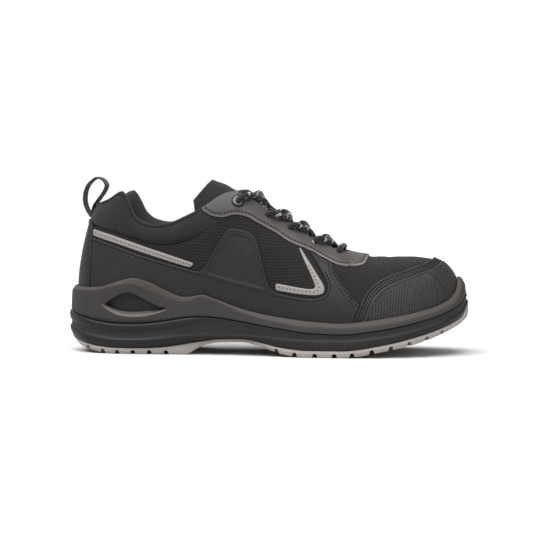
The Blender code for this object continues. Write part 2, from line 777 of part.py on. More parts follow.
def surface_at(x, z, side):
    """Angle and share on one side where the outside shows at x and z in side view."""
    phi = angle_of(x) if side < 0 else 360 - angle_of(x)
    phi = float(phi)
    for _ in range(12):
        share = float(height_share(np.array([phi]), z)[0])
        here = bare(phi, share)
        station = float(np.clip(station_at(fold(phi)[0]) + (x - here[0]) * 0.8, 1.0, LENGTH - 1.0))
        phi = float(angle_of(station) if side < 0 else 360 - angle_of(station))
    return phi, share


def find_holes():
    """Place and outward direction of each lace hole, the outer side's first."""
    frames = []
    for side in (-1.0, 1.0):
        for x, z in HOLES:
            phi, share = surface_at(x, z, side)
            frames.append((side, bare(phi, share), bare_normal(phi, share), phi))
    return frames


HOLE_FRAMES = find_holes()


def spin(at, axis, profile, segments):
    """Points and faces of a turned closed profile: rows of radius and height along the axis."""
    axis = axis / np.linalg.norm(axis)
    a = np.cross(axis, np.array([1.0, 0.0, 0.0]))
    a /= np.linalg.norm(a)
    b = np.cross(axis, a)
    points = []
    faces = []
    count = len(profile)
    for i in range(segments):
        turn = 2 * math.pi * i / segments
        ray = a * math.cos(turn) + b * math.sin(turn)
        points.extend([at + ray * r + axis * h for r, h in profile])
    for i in range(segments):
        j = (i + 1) % segments
        for k in range(count):
            m = (k + 1) % count
            faces.append((i * count + k, j * count + k, j * count + m, i * count + m))
    return points, faces


def hole_cutter():
    """Round plugs through every lace hole."""
    points = []
    faces = []
    for k, (side, at, n, phi) in enumerate(HOLE_FRAMES):
        radius, sides = (EYELET_HOLE, 8) if k % len(HOLES) == 0 else (PUNCHED_HOLE, 6)
        a = np.cross(n, np.array([1.0, 0.0, 0.0]))
        a /= np.linalg.norm(a)
        b = np.cross(n, a)
        start = len(points)
        for h in (-6.0, 4.0):
            for i in range(sides):
                turn = 2 * math.pi * i / sides
                points.append(at + n * h + (a * math.cos(turn) + b * math.sin(turn)) * radius)
        faces.append(tuple(range(start, start + sides)))
        faces.append(tuple(range(start + sides, start + 2 * sides)))
        for i in range(sides):
            j = (i + 1) % sides
            faces.append((start + i, start + j, start + sides + j, start + sides + i))
    return cutter("hole_cutter", points, faces)


def insole():
    net = Net()
    angle = fold(RING)[0]
    floor = along(BASE_COLUMNS, BASE, "floor", angle)
    inset = along(BASE_COLUMNS, BASE, "inset", angle) + WALL + 0.5
    rows = []
    for lift, extra in ((GAP, 0.6), (GAP + INSOLE_THICK, 0.0)):
        at = plan(RING) - plan_normal(RING) * (inset + extra)[:, None]
        rows.append(net.row(np.concatenate([at, (floor + lift)[:, None]], -1)))
    for a, b in zip(rows, rows[1:]):
        net.strip(a, b)
    net.floor(rows[0])
    net.floor(rows[-1])
    return solid("insole", net.points, net.faces, "footbed_foam")


def tongue():
    """Arched pad, one arch for each row of its table, with its free end rounded."""
    rows = np.array(TONGUE, float)
    centre = rows[:, :2]
    run = np.gradient(centre, axis=0)
    run /= np.linalg.norm(run, axis=1, keepdims=True)
    rise = np.stack([run[:, 1], -run[:, 0]], -1)
    arch = np.radians(np.linspace(-88, 88, 9))
    net = Net()
    rings = []
    for (x, z, half, drop, thick, sweep), up in zip(rows, rise):
        middle = float(ridge_y(x))
        outer = []
        inner = []
        for a in arch:
            round_share = 1 - math.cos(a)
            back = x - sweep * round_share
            fall = drop * round_share
            outer.append((back - up[0] * fall, middle + half * math.sin(a), z - up[1] * fall))
            fall = thick + (drop - 0.3 * thick) * round_share
            inner.append((back - up[0] * fall, middle + (half - 0.6 * thick) * math.sin(a), z - up[1] * fall))
        rings.append(net.row(outer + inner[::-1]))
    for a, b in zip(rings, rings[1:]):
        net.strip(a, b)
    last = len(arch) * 2 - 1
    for ring in (rings[0], rings[-1]):
        for i in range(len(arch) - 1):
            net.faces.append((ring[i], ring[i + 1], ring[last - i - 1], ring[last - i]))
    return solid("tongue", net.points, net.faces, "knit_fabric")


def shell(name, slot, outline, start=GAP, thick=OVERLAY, side=0, holes=False):
    """Overlay: a layer between two offsets of the upper's outside, cut along an outline in side view."""
    net = Net()
    layers = []
    for offset in (start, start + thick):
        rows = [outside(RING, v, offset) for v in section_shares(RING, (0.08, 0.2, 0.45, 0.72, 1.0))]
        rows[-1] = joined(rows[-1])
        layers.append([net.row(r) for r in rows])
    low_rows, high_rows = layers
    for rows in layers:
        for a, b in zip(rows, rows[1:]):
            net.strip(a, b)
    net.strip(low_rows[0], high_rows[0])
    for i in range(RING_COUNT):
        j = (i + 1) % RING_COUNT
        if not (ON_RIDGE[i] and ON_RIDGE[j]):
            net.faces.append((low_rows[-1][i], low_rows[-1][j], high_rows[-1][j], high_rows[-1][i]))
    made = solid(name, net.points, net.faces, slot)
    near, far = {-1: (-80.0, -0.5), 0: (-80.0, 80.0), 1: (0.5, 80.0)}[side]
    count = len(outline)
    points = [(x, near, z) for x, z in outline] + [(x, far, z) for x, z in outline]
    faces = [tuple(range(count)), tuple(range(count, 2 * count))]
    for i in range(count):
        j = (i + 1) % count
        faces.append((i, j, count + j, count + i))
    cut(made, cutter("outline_cutter", points, faces), "INTERSECT")
    if holes:
        cut(made, hole_cutter(), "DIFFERENCE")
    return made


def shifted(border, dx, dz):
    return [(x + dx, z + dz) for x, z in border]


def overlays():
    far = 320.0
    shell("toe_cap", "cap_rubber", list(CAP_BORDER) + [(far, 78.0), (far, 5.0), (217.0, 5.0)])
    shell("eyestay", "eyestay_synthetic", list(EYESTAY_BORDER) + [(228.0, 140.0), (99.0, 140.0)], holes=True)
    behind = -20.0
    heel = [(behind, 5.0), (BACKSTAY_FRONT, 5.0), (BACKSTAY_FRONT, BACKSTAY_TOP), (behind, BACKSTAY_TOP)]
    shell("backstay", "smooth_synthetic", heel)
    front = shifted(CAP_BORDER[:2], -GAP * 2, 0.0)[::-1]
    eyestay_part = shifted([p for p in EYESTAY_BORDER if 184 < p[0] < 200], 0.0, -0.9)
    rear = BACKSTAY_FRONT + GAP * 2
    quarter = list(FOXING_TOP) + eyestay_part + list(VAMP_SEAM) + front + [(216.0, 5.0), (rear, 5.0)]
    strip = list(HEEL_STRIP_TOP) + list(HEEL_STRIP_LOW)[::-1]
    corner = list(CORNER_STRIP_IN) + list(CORNER_STRIP_OUT)[::-1]
    for side, word in ((-1, "lateral"), (1, "medial")):
        shell(f"foxing_{word}", "smooth_synthetic", quarter, side=side)
        shell(f"heel_strip_{word}", "reflective_trim", strip, thick=TRIM, side=side)
        shell(f"corner_strip_{word}", "reflective_trim", corner, thick=TRIM, side=side)


def pull_loop():
    """Webbing band along its closed path, wide across the heel."""
    path = np.array(LOOP, float)
    run = np.roll(path, -1, axis=0) - np.roll(path, 1, axis=0)
    run /= np.linalg.norm(run, axis=1, keepdims=True)
    run[0] = (-1.0, 0.0)
    side = np.stack([-run[:, 1], run[:, 0]], -1) * LOOP_THICK / 2
    net = Net()
    rings = []
    for p, s in zip(path, side):
        corners = [(p + s, -1), (p + s, 1), (p - s, 1), (p - s, -1)]
        rings.append(net.row([(c[0], w * LOOP_WIDTH / 2, c[1]) for c, w in corners]))
    for a, b in zip(rings, rings[1:] + rings[:1]):
        net.strip(a, b)
    return solid("pull_loop", net.points, net.faces, "webbing")


def eyelets():
    """Metal ring over the eyestay with a barrel into the hole, at each top hole."""
    seat = GAP + OVERLAY + GAP
    barrel = EYELET_HOLE - 0.5
    bore = barrel - 0.4
    crest = (EYELET_RING - 0.3, seat + 0.9)
    profile = ((bore, -2.6), (barrel, -2.6), (barrel, seat), (EYELET_RING, seat), crest, (bore, seat + 0.8))
    for side, at, n, phi in HOLE_FRAMES:
        top = HOLES[0]
        if abs(at[2] - top[1]) < 0.5 and abs(at[0] - top[0]) < 1.5:
            word = "lateral" if side < 0 else "medial"
            points, faces = spin(at, n, profile, 10)
            solid(f"eyelet_{word}", points, faces, "eyelet_metal")


def tube(name, path, radius, sides=6):
    """Round cord along points of a smooth curve."""
    path = np.asarray(path, float)
    run = np.gradient(path, axis=0)
    run /= np.linalg.norm(run, axis=1, keepdims=True)
    net = Net()
    rings = []
    for p, t in zip(path, run):
        a = np.cross(t, np.array([0.0, 0.0, 1.0]))
        a /= np.linalg.norm(a)
        b = np.cross(t, a)
        turns = [2 * math.pi * k / sides for k in range(sides)]
        rings.append(net.row([p + (a * math.cos(w) + b * math.sin(w)) * radius for w in turns]))
    for a, b in zip(rings, rings[1:]):
        net.strip(a, b)
    net.faces.append(tuple(rings[0]))
    net.faces.append(tuple(rings[-1]))
    return solid(name, net.points, net.faces, "lace_cord")


def bend(points, samples=8):
    """Smooth curve through a few places."""
    points = np.asarray(points, float)
    at = np.linspace(0, len(points) - 1, len(points))
    t = np.linspace(0, len(points) - 1, samples)
    return np.stack([smooth(at, points[:, k], t) for k in range(3)], -1)


def tongue_top(x):
    rows = np.array(TONGUE, float)[::-1]
    return float(smooth(rows[:, 0], rows[:, 1], x))


def throat_edge(frame, lift):
    """Where a lace from a hole runs over the throat's edge, a little nearer the toe."""
    side, at, n, phi = frame
    turn = angle_of(station_at(fold(phi)[0]) + EDGE_STEP)
    edge = turn if side < 0 else 360 - turn
    return bare(edge, 1.0) + bare_normal(edge, 1.0) * lift + np.array([0.0, 0.0, EDGE_ROLL * 0.4])


def lace():
    """Crossings between each pair of holes and the next, and the straight bar at the front pair."""
    frames = HOLE_FRAMES
    count = len(HOLES)
    near, far = frames[:count], frames[count:]
    lift = GAP + OVERLAY + 0.5 + LACE / 2
    for i in range(count - 1):
        bars = []
        for start, end, side in ((near[i], far[i + 1], -1.0), (far[i], near[i + 1], 1.0)):
            mid_x = (start[1][0] + end[1][0]) / 2
            middle = np.array([mid_x, float(ridge_y(mid_x)), tongue_top(mid_x) + LACE / 2 + 2.6 + 0.2 * side])
            hole = start[1] + start[2] * lift
            edge = throat_edge(start, lift)
            if i == 0:
                hole = edge.copy()
                edge = edge * 0.6 + middle * 0.4 + np.array([0.0, 0.0, 0.8])
            stop = middle * 0.45 + end[1] * 0.55
            stop[1] = float(ridge_y(stop[0])) - side * 6.0
            stop[2] = tongue_top(stop[0]) + LACE / 2 + 0.9
            bars.append(tube(f"lace_cross_{i + 1}", bend([hole, edge, middle, stop], 7), LACE / 2))
        cut(bars[0], bars[1], "UNION")
        bars[0].name = f"lace_cross_{i + 1}"
    a, b = (frame[1] + frame[2] * (lift + 0.5) for frame in (near[-1], far[-1]))
    bow = np.array([0.0, 0.0, 1.2])
    route = [a + (b - a) * part + bow * math.sin(math.pi * part) for part in np.linspace(0, 1, 9)]
    tube("lace_bar", route, LACE / 2)


def main():
    for thing in list(bpy.data.objects):
        bpy.data.objects.remove(thing, do_unlink=True)
    outsole()
    midsole()
    upper()
    insole()
    tongue()
    overlays()
    pull_loop()
    eyelets()
    lace()


main()
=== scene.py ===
# %% [markdown]
# # A low safety shoe, dressed for the camera
# The solids of this shoe were drawn as plain CAD parts. This script loads them as a fixed
# frame and puts a finished skin over each one: the knit upper, the synthetic overlays, the moulded toe
# cap, the foam midsole, the rubber tread, the padded tongue and the lace.
# Every length below is in millimetres in the shoe's own frame: x runs from the heel's back to the toe,
# y across the foot with the outer side negative, and z up from the floor.

# %% Load the frame
import math

import bmesh
import bpy
import numpy as np
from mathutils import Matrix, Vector
from mathutils.geometry import delaunay_2d_cdt


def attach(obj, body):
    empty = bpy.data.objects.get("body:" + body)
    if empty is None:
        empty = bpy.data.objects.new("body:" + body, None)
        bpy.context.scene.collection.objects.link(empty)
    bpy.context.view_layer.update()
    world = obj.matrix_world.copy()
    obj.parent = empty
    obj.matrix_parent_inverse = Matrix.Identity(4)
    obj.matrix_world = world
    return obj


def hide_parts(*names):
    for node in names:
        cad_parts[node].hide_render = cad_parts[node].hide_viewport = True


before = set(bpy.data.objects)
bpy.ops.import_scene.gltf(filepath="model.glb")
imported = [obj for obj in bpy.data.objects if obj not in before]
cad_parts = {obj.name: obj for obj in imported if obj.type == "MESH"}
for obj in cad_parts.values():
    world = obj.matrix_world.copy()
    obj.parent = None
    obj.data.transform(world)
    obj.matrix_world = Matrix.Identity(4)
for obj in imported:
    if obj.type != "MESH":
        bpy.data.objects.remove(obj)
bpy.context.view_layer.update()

# %% [markdown]
# ## Camera
# A product photographer shoots a shoe from a little above the floor with a long lens, so that the side
# stays true to scale. The camera stands 8 degrees round towards the toe and 3 degrees up.

# %% Camera
FRAME_SIZE = 533
AZIMUTH = math.radians(8.0)
ELEVATION = math.radians(3.0)
DISTANCE = 1.6
AIM = Vector((0.0, 0.0, 0.0635))

away = Vector((
    math.sin(AZIMUTH) * math.cos(ELEVATION),
    -math.cos(AZIMUTH) * math.cos(ELEVATION),
    math.sin(ELEVATION),
))
lens = bpy.data.cameras.new("long_lens")
lens.sensor_width = 36.0
lens.lens = 144.05
lens.shift_x = -1.4 / FRAME_SIZE
lens.shift_y = 0.5 / FRAME_SIZE
camera = bpy.data.objects.new("camera", lens)
camera.location = AIM + away * DISTANCE
camera.rotation_euler = away.to_track_quat("Z", "Y").to_euler()
bpy.context.scene.collection.objects.link(camera)
bpy.context.scene.camera = camera
print("camera at", [round(v, 3) for v in camera.location])

# %% [markdown]
# ## Floor and light
# A white sweep under a big overhead bank is the usual set for shoes: tops are bright, sides fall off and
# the floor burns out to white. The floor is a wide disc. A very broad sun stands for the bank, because its
# light is as strong far away as it is near, so the floor is white to the horizon. The dome is dim above and
# white along the horizon.

# %% Floor and light
FLOOR_RADIUS = 30.0
FLOOR_SIDES = 96


def hex_colour(code):
    """An sRGB colour code as linear light, with alpha."""
    parts = [int(code[i:i + 2], 16) / 255 for i in (1, 3, 5)]
    return (*[p / 12.92 if p <= 0.04045 else ((p + 0.055) / 1.055) ** 2.4 for p in parts], 1.0)


def node(tree, kind, inputs=None, **settings):
    """One node with its settings, and values or links for its sockets; gives its first live output."""
    made = tree.nodes.new(kind)
    for key, value in settings.items():
        setattr(made, key, value)
    for key, value in (inputs or {}).items():
        if isinstance(key, int):
            socket = made.inputs[key]
        else:
            socket = next(s for s in made.inputs if s.identifier == key or s.name == key)
        if isinstance(value, bpy.types.NodeSocket):
            tree.links.new(value, socket)
        else:
            socket.default_value = value
    return next((s for s in made.outputs if s.enabled), None)


def material(name, colour, rough, **values):
    """A principled material, its node tree and its shader; values set more of the shader's own sockets."""
    made = bpy.data.materials.new(name)
    made.use_nodes = True
    made.diffuse_color = hex_colour(colour)
    shader = made.node_tree.nodes["Principled BSDF"]
    shader.inputs["Base Color"].default_value = hex_colour(colour)
    shader.inputs["Roughness"].default_value = rough
    for key, value in values.items():
        shader.inputs[key.replace("_", " ")].default_value = value
    return made, made.node_tree, shader


def softbox(name, place_at, aim_at, size, watts):
    """A flat lamp aimed at a point."""
    light = bpy.data.lights.new(name, "AREA")
    light.shape = "RECTANGLE"
    light.size, light.size_y = size
    light.energy = watts
    made = bpy.data.objects.new(name, light)
    made.location = place_at
    made.rotation_euler = (Vector(place_at) - Vector(aim_at)).to_track_quat("Z", "Y").to_euler()
    bpy.context.scene.collection.objects.link(made)
    return made


turns = np.linspace(0, 2 * np.pi, FLOOR_SIDES + 1)[:-1]
disc = [(FLOOR_RADIUS * math.cos(a), FLOOR_RADIUS * math.sin(a), 0.0) for a in turns]
floor_mesh = bpy.data.meshes.new("floor")
floor_mesh.from_pydata(disc, [], [list(range(FLOOR_SIDES))])
floor = bpy.data.objects.new("floor", floor_mesh)
bpy.context.scene.collection.objects.link(floor)
# Studio paper: matt and pale grey, with no gloss.
paper, _, _ = material("studio_paper_matt", "#c4c3c2", 0.95, Specular_IOR_Level=0.0)
floor_mesh.materials.append(paper)

bank = bpy.data.lights.new("overhead_bank", "SUN")
bank.energy = 5.6
bank.angle = math.radians(65.0)
bank_lamp = bpy.data.objects.new("overhead_bank", bank)
bank_lamp.rotation_euler = Vector((-0.18, -0.42, 1.0)).to_track_quat("Z", "Y").to_euler()
bpy.context.scene.collection.objects.link(bank_lamp)
softbox("toe_box", (1.1, -0.9, 0.7), (0.1, 0.0, 0.06), (0.5, 0.9), 5.0)
softbox("rim_box", (-0.6, 1.2, 1.1), (0.0, 0.0, 0.08), (1.2, 0.5), 10.0)

world = bpy.data.worlds.new("pale_dome")
world.use_nodes = True
sky = world.node_tree
look = node(sky, "ShaderNodeTexCoord")
height = node(sky, "ShaderNodeSeparateXYZ", {0: look}).node.outputs[2]
skirt = node(
    sky,
    "ShaderNodeMapRange",
    {"Value": height, "From Min": 0.12, "From Max": 0.2, "To Min": 1.0, "To Max": 0.3},
)
sky.links.new(skirt, sky.nodes["Background"].inputs["Color"])
bpy.context.scene.world = world
bpy.context.scene.view_settings.view_transform = "Standard"
print("set lit by", len(bpy.data.lights), "lamps and a pale dome")

# %% [markdown]
# ## The last
# A shoe is built over a last, a solid foot form, and every overlay follows it. The tables give the sole's
# plan, the place where the upper stands in the sole's cup, and its top edge; the functions blend them into
# one surface, by an angle round the shoe from the heel and a share of the way up.

# %% The last's tables
MM = 0.001
LENGTH = 300.0
GAP = 0.3
WALL = 2.2
PAD_OUT = 2.4
PAD_IN = 4.5

# Plan of the sole: half widths to the outer (lateral) and inner (medial) side at each station.
OUTLINE_COLUMNS = ("station", "lateral", "medial")
OUTLINE = (
    (0.0, 0.0, 0.0),
    (5.1, 18.0, 18.0),
    (20.1, 32.0, 31.7),
    (43.9, 38.0, 37.5),
    (75.0, 38.7, 36.0),
    (111.2, 40.0, 34.0),
    (150.0, 45.0, 37.0),
    (188.8, 50.6, 45.0),
    (225.0, 50.0, 50.3),
    (256.1, 43.0, 48.5),
    (279.9, 30.0, 41.5),
    (294.9, 13.0, 28.0),
    (300.0, -7.0, 7.0),
)

# Where the upper stands on the cup's floor, and how its side starts from there.
BASE_COLUMNS = ("station", "inset", "floor", "lean", "reach")
BASE = (
    (0.0, 10.0, 27.0, 22.0, 25.0),
    (20.1, 10.0, 26.2, 22.0, 24.0),
    (43.9, 9.6, 24.8, 20.0, 22.0),
    (75.0, 9.0, 23.2, 17.0, 20.0),
    (111.2, 8.6, 20.2, 14.0, 19.0),
    (150.0, 9.4, 16.4, 15.0, 19.0),
    (188.8, 10.2, 13.4, 17.0, 20.0),
    (225.0, 10.3, 14.2, 19.0, 20.0),
    (256.1, 10.4, 19.6, 20.0, 21.0),
    (279.9, 10.8, 26.0, 21.0, 22.0),
    (294.9, 11.0, 29.2, 21.0, 22.5),
    (300.0, 11.0, 30.0, 21.0, 22.5),
)

# Top end of each section of the upper: the collar, the throat's edge, then the ridge of the vamp.
TOP_COLUMNS = ("station", "x", "half", "z", "lean", "reach", "collar")
TOP = (
    (0.0, 19.0, 0.0, 110.0, 17.0, 20.0, 15.0),
    (4.0, 22.5, 9.5, 111.0, 16.0, 20.0, 16.0),
    (12.0, 31.5, 17.5, 114.0, 14.0, 20.0, 21.0),
    (24.0, 42.5, 23.0, 119.6, 10.0, 20.0, 29.0),
    (33.0, 48.5, 26.0, 112.0, 8.0, 20.0, 24.0),
    (40.0, 52.5, 27.6, 103.4, 6.0, 20.0, 17.0),
    (49.0, 59.5, 29.4, 97.6, 5.0, 20.0, 13.0),
    (62.0, 70.0, 31.0, 95.4, 5.0, 20.0, 13.4),
    (77.0, 81.5, 31.0, 97.0, 8.0, 20.0, 15.3),
    (90.0, 92.0, 30.5, 101.6, 14.0, 22.0, 17.5),
    (100.0, 101.0, 29.4, 106.2, 20.0, 24.0, 19.0),
    (112.0, 110.5, 28.0, 112.0, 26.0, 26.0, 19.0),
    (120.0, 117.6, 26.5, 116.8, 31.0, 27.0, 18.0),
    (128.0, 125.0, 25.0, 120.0, 36.0, 28.0, 18.0),
    (134.0, 130.5, 24.0, 120.6, 41.0, 28.0, 18.0),
    (140.0, 135.5, 23.0, 117.8, 46.0, 28.0, 18.0),
    (150.0, 144.0, 21.5, 112.4, 55.0, 27.0, 18.0),
    (165.0, 158.0, 19.0, 101.8, 65.0, 26.0, 18.0),
    (180.0, 173.5, 17.0, 91.8, 71.0, 25.0, 18.0),
    (195.0, 188.0, 15.0, 83.3, 75.0, 25.0, 17.0),
    (208.0, 200.0, 13.0, 77.6, 78.0, 27.0, 16.0),
    (215.0, 206.0, 10.5, 75.6, 81.0, 29.0, 15.0),
    (219.0, 210.0, 6.5, 74.8, 83.0, 32.6, 15.0),
    (222.0, 212.5, 0.0, 74.4, 85.0, 38.0, 15.0),
    (230.0, 219.0, 0.0, 73.2, 87.0, 37.0, 15.0),
    (241.0, 230.0, 0.0, 72.1, 89.0, 34.5, 15.0),
    (252.0, 241.0, 0.0, 71.9, 90.0, 32.0, 15.0),
    (271.0, 257.0, 0.0, 72.0, 90.0, 27.0, 15.0),
    (280.0, 262.0, 0.0, 71.6, 90.0, 25.0, 15.0),
    (290.0, 265.5, 0.0, 71.1, 90.0, 21.0, 15.0),
    (300.0, 268.0, 0.0, 70.8, 90.0, 18.0, 15.0),
)
THROAT_FRONT = 222.0


def angle_of(station):
    """Angle from the heel's back, 0, to the toe, 180, at which a station lies."""
    return np.degrees(np.arccos(np.clip(1 - 2 * np.asarray(station, float) / LENGTH, -1, 1)))


def station_at(angle):
    """Distance from the heel at an angle round the shoe."""
    return LENGTH / 2 * (1 - np.cos(np.radians(angle)))


def smooth(x, y, at, level=False):
    """Smooth curve through the rows that never overshoots them, level at both ends if asked."""
    x = np.asarray(x, float)
    y = np.asarray(y, float)
    h = np.diff(x)
    d = np.diff(y) / h
    slope = np.zeros_like(y)
    same = d[:-1] * d[1:] > 0
    w1 = 2 * h[1:] + h[:-1]
    w2 = h[1:] + 2 * h[:-1]
    left = np.where(same, d[:-1], 1.0)
    right = np.where(same, d[1:], 1.0)
    slope[1:-1] = np.where(same, (w1 + w2) / (w1 / left + w2 / right), 0.0)
    if not level:
        slope[0] = d[0]
        slope[-1] = d[-1]
    at = np.clip(np.asarray(at, float), x[0], x[-1])
    i = np.clip(np.searchsorted(x, at) - 1, 0, len(x) - 2)
    t = (at - x[i]) / h[i]
    a = (1 + 2 * t) * (1 - t) ** 2 * y[i] + t * (1 - t) ** 2 * h[i] * slope[i]
    b = t * t * (3 - 2 * t) * y[i + 1] + t * t * (t - 1) * h[i] * slope[i + 1]
    return a + b


def column(columns, rows, name):
    """One named column of a table."""
    return np.array([row[columns.index(name)] for row in rows], float)


def along(columns, rows, name, angle):
    """A table's column at an angle round the shoe."""
    level = name not in ("lateral", "medial", "half")
    return smooth(angle_of(column(columns, rows, "station")), column(columns, rows, name), angle, level)


def fold(phi):
    """Angle along one side and which side: -1 is the outer side, 1 the inner side."""
    phi = np.mod(np.asarray(phi, float), 360.0)
    return np.where(phi <= 180, phi, 360 - phi), np.where(phi <= 180, -1.0, 1.0)


def plan(phi):
    """Point on the sole's plan, going round from the heel by the outer side."""
    angle, side = fold(phi)
    lateral = along(OUTLINE_COLUMNS, OUTLINE, "lateral", angle)
    medial = along(OUTLINE_COLUMNS, OUTLINE, "medial", angle)
    return np.stack([station_at(angle), np.where(side < 0, -lateral, medial)], -1)


def plan_normal(phi):
    """Outward direction of the sole's plan."""
    d = plan(np.asarray(phi, float) + 2.0) - plan(np.asarray(phi, float) - 2.0)
    d = d / np.linalg.norm(d, axis=-1, keepdims=True)
    return np.stack([d[..., 1], -d[..., 0]], -1)


def ridge_y(x):
    """Middle line of the last, which swings to the inner side at the toe."""
    return 5.0 * np.clip((np.asarray(x, float) - 140.0) / 130.0, 0, 1) ** 1.5


def bare(phi, v):
    """The upper's outside before padding: one curve from floor to top at each angle."""
    phi, v = np.broadcast_arrays(np.asarray(phi, float), np.asarray(v, float))
    angle, side = fold(phi)
    out = plan_normal(phi)
    lean = np.radians(along(BASE_COLUMNS, BASE, "lean", angle))
    reach = along(BASE_COLUMNS, BASE, "reach", angle)
    foot = plan(phi) - out * along(BASE_COLUMNS, BASE, "inset", angle)[..., None]
    p0 = np.concatenate([foot, (along(BASE_COLUMNS, BASE, "floor", angle) + GAP)[..., None]], -1)
    rise = np.concatenate([out * np.sin(lean)[..., None], np.cos(lean)[..., None]], -1)
    p1 = p0 + rise * reach[..., None]
    x = along(TOP_COLUMNS, TOP, "x", angle)
    y = ridge_y(x) + side * along(TOP_COLUMNS, TOP, "half", angle)
    p3 = np.stack([x, y, along(TOP_COLUMNS, TOP, "z", angle)], -1)
    tilt = np.radians(along(TOP_COLUMNS, TOP, "lean", angle))
    into = np.concatenate([-out * np.sin(tilt)[..., None], np.cos(tilt)[..., None]], -1)
    p2 = p3 - into * along(TOP_COLUMNS, TOP, "reach", angle)[..., None]
    t = v[..., None]
    return (1 - t) ** 3 * p0 + 3 * t * (1 - t) ** 2 * p1 + 3 * t * t * (1 - t) * p2 + t ** 3 * p3


def bare_normal(phi, v):
    """The way the last's surface faces, away from the foot."""
    phi = np.asarray(phi, float)
    v = np.asarray(v, float)
    low = np.clip(v - 0.02, 0, 1)
    high = np.clip(v + 0.02, 0, 1)
    round_shoe = bare(phi + 1.5, v * 0.98) - bare(phi - 1.5, v * 0.98)
    up = bare(phi, high) - bare(phi, low)
    n = np.cross(round_shoe, up)
    return n / np.maximum(np.linalg.norm(n, axis=-1, keepdims=True), 1e-9)


def halved(low, high, beyond, rounds):
    """Closes in, by halving the span between low and high, on the place where a test turns true."""
    for _ in range(rounds):
        mid = (low + high) / 2
        past = beyond(mid)
        high = np.where(past, mid, high)
        low = np.where(past, low, mid)
    return low, high


def height_share(phi, z):
    """Share of the way up the section at which the outside reaches height z."""
    span = np.zeros(np.shape(phi)), np.ones(np.shape(phi))
    low, high = halved(*span, lambda mid: bare(phi, mid)[..., 2] > z, 22)
    return (low + high) / 2


def seam_shares(phi):
    """Share at which the collar's pad begins, worked out at each angle given."""
    angle, _ = fold(phi)
    top = along(TOP_COLUMNS, TOP, "z", angle)
    return height_share(phi, top - along(TOP_COLUMNS, TOP, "collar", angle))


SEAM_ANGLES = np.linspace(0.0, 360.0, 721)
SEAM_SHARES = seam_shares(SEAM_ANGLES)


def collar_share(phi):
    """Share at which the collar's pad begins."""
    return np.interp(np.mod(phi, 360.0), SEAM_ANGLES, SEAM_SHARES)


def pad_weight(phi):
    """1 round the collar, 0 along the throat and vamp, and less at the heel's middle."""
    angle, _ = fold(phi)
    x = station_at(angle)
    return np.clip((118.0 - x) / 30.0, 0, 1) * (0.45 + 0.55 * np.clip(x / 8.0, 0, 1))


def outside(phi, v, offset=0.0):
    """The upper's outside with the collar's pad, moved out by an offset."""
    phi, v = np.broadcast_arrays(np.asarray(phi, float), np.asarray(v, float))
    start = collar_share(phi)
    share = np.clip((v - start) / (1 - start), 0, 1)
    puff = PAD_OUT * pad_weight(phi) * np.sin(np.pi * share ** 0.75)
    return bare(phi, v) + bare_normal(phi, v) * (puff + offset)[..., None]


def inside(phi, v):
    """The upper's inside, thicker where the collar is padded."""
    phi, v = np.broadcast_arrays(np.asarray(phi, float), np.asarray(v, float))
    start = collar_share(phi) - 0.12
    share = np.clip((v - start) / (1 - start), 0, 1)
    puff = PAD_IN * pad_weight(phi) * np.sin(np.pi * 0.88 * share) ** 0.8
    return bare(phi, v) - bare_normal(phi, v) * (WALL + puff)[..., None]


def place(points):
    """From the last's millimetres to the frame's metres."""
    return (np.asarray(points, float) - (LENGTH / 2, 0.0, 0.0)) * MM


print("collar pad begins at shares", np.round(SEAM_SHARES[[0, 180, 360]], 2))

# %% [markdown]
# ## Turning surfaces into meshes
# Each skin is a grid of points over the last. Blender stores the grid as vertices and faces; a UV map in
# real millimetres goes with it, so that every weave and grain can be drawn at its true size.

# %% Mesh helpers
def grid(rows, columns, keep=None):
    """Four-sided faces over a grid of points, row after row, or only those marked to keep."""
    index = np.arange(rows * columns).reshape(rows, columns)
    quads = np.stack([index[:-1, :-1], index[:-1, 1:], index[1:, 1:], index[1:, :-1]], -1)
    return (quads.reshape(-1, 4) if keep is None else quads[keep]).tolist()


def lengths(points, axis):
    """Distance run so far along one axis of a grid of points."""
    steps = np.linalg.norm(np.diff(points, axis=axis), axis=-1)
    run = np.cumsum(steps, axis=axis)
    return np.concatenate([np.zeros_like(np.take(run, [0], axis)), run], axis)


def make(name, points, faces, materials, uv=None, index=None, bands=None):
    """A smooth mesh object from points in millimetres, with UV maps in millimetres."""
    mesh = bpy.data.meshes.new(name)
    mesh.from_pydata(place(points).reshape(-1, 3).tolist(), [], [list(f) for f in faces])
    for layer, values in (("run", uv), ("bands", bands)):
        if values is not None:
            corner = np.zeros(len(mesh.loops), np.int32)
            mesh.loops.foreach_get("vertex_index", corner)
            flat = np.asarray(values, np.float32).reshape(-1, 2)[corner]
            mesh.uv_layers.new(name=layer).data.foreach_set("uv", flat.ravel())
    for one in materials:
        mesh.materials.append(one)
    if index is not None:
        mesh.polygons.foreach_set("material_index", np.asarray(index, np.int32))
    mesh.polygons.foreach_set("use_smooth", np.ones(len(mesh.polygons), bool))
    work = bmesh.new()
    work.from_mesh(mesh)
    bmesh.ops.remove_doubles(work, verts=work.verts, dist=1e-6)
    work.to_mesh(mesh)
    work.free()
    made = bpy.data.objects.new(name, mesh)
    bpy.context.scene.collection.objects.link(made)
    return made


def face_out(thing):
    """Turns every face of a closed mesh outward."""
    work = bmesh.new()
    work.from_mesh(thing.data)
    bmesh.ops.recalc_face_normals(work, faces=work.faces)
    work.to_mesh(thing.data)
    work.free()
    return thing


def worked_out(thing):
    """The mesh that an object's modifiers make, put in place of them."""
    bpy.context.view_layer.update()
    graph = bpy.context.evaluated_depsgraph_get()
    mesh = bpy.data.meshes.new_from_object(thing.evaluated_get(graph))
    thing.modifiers.clear()
    thing.data = mesh
    return thing


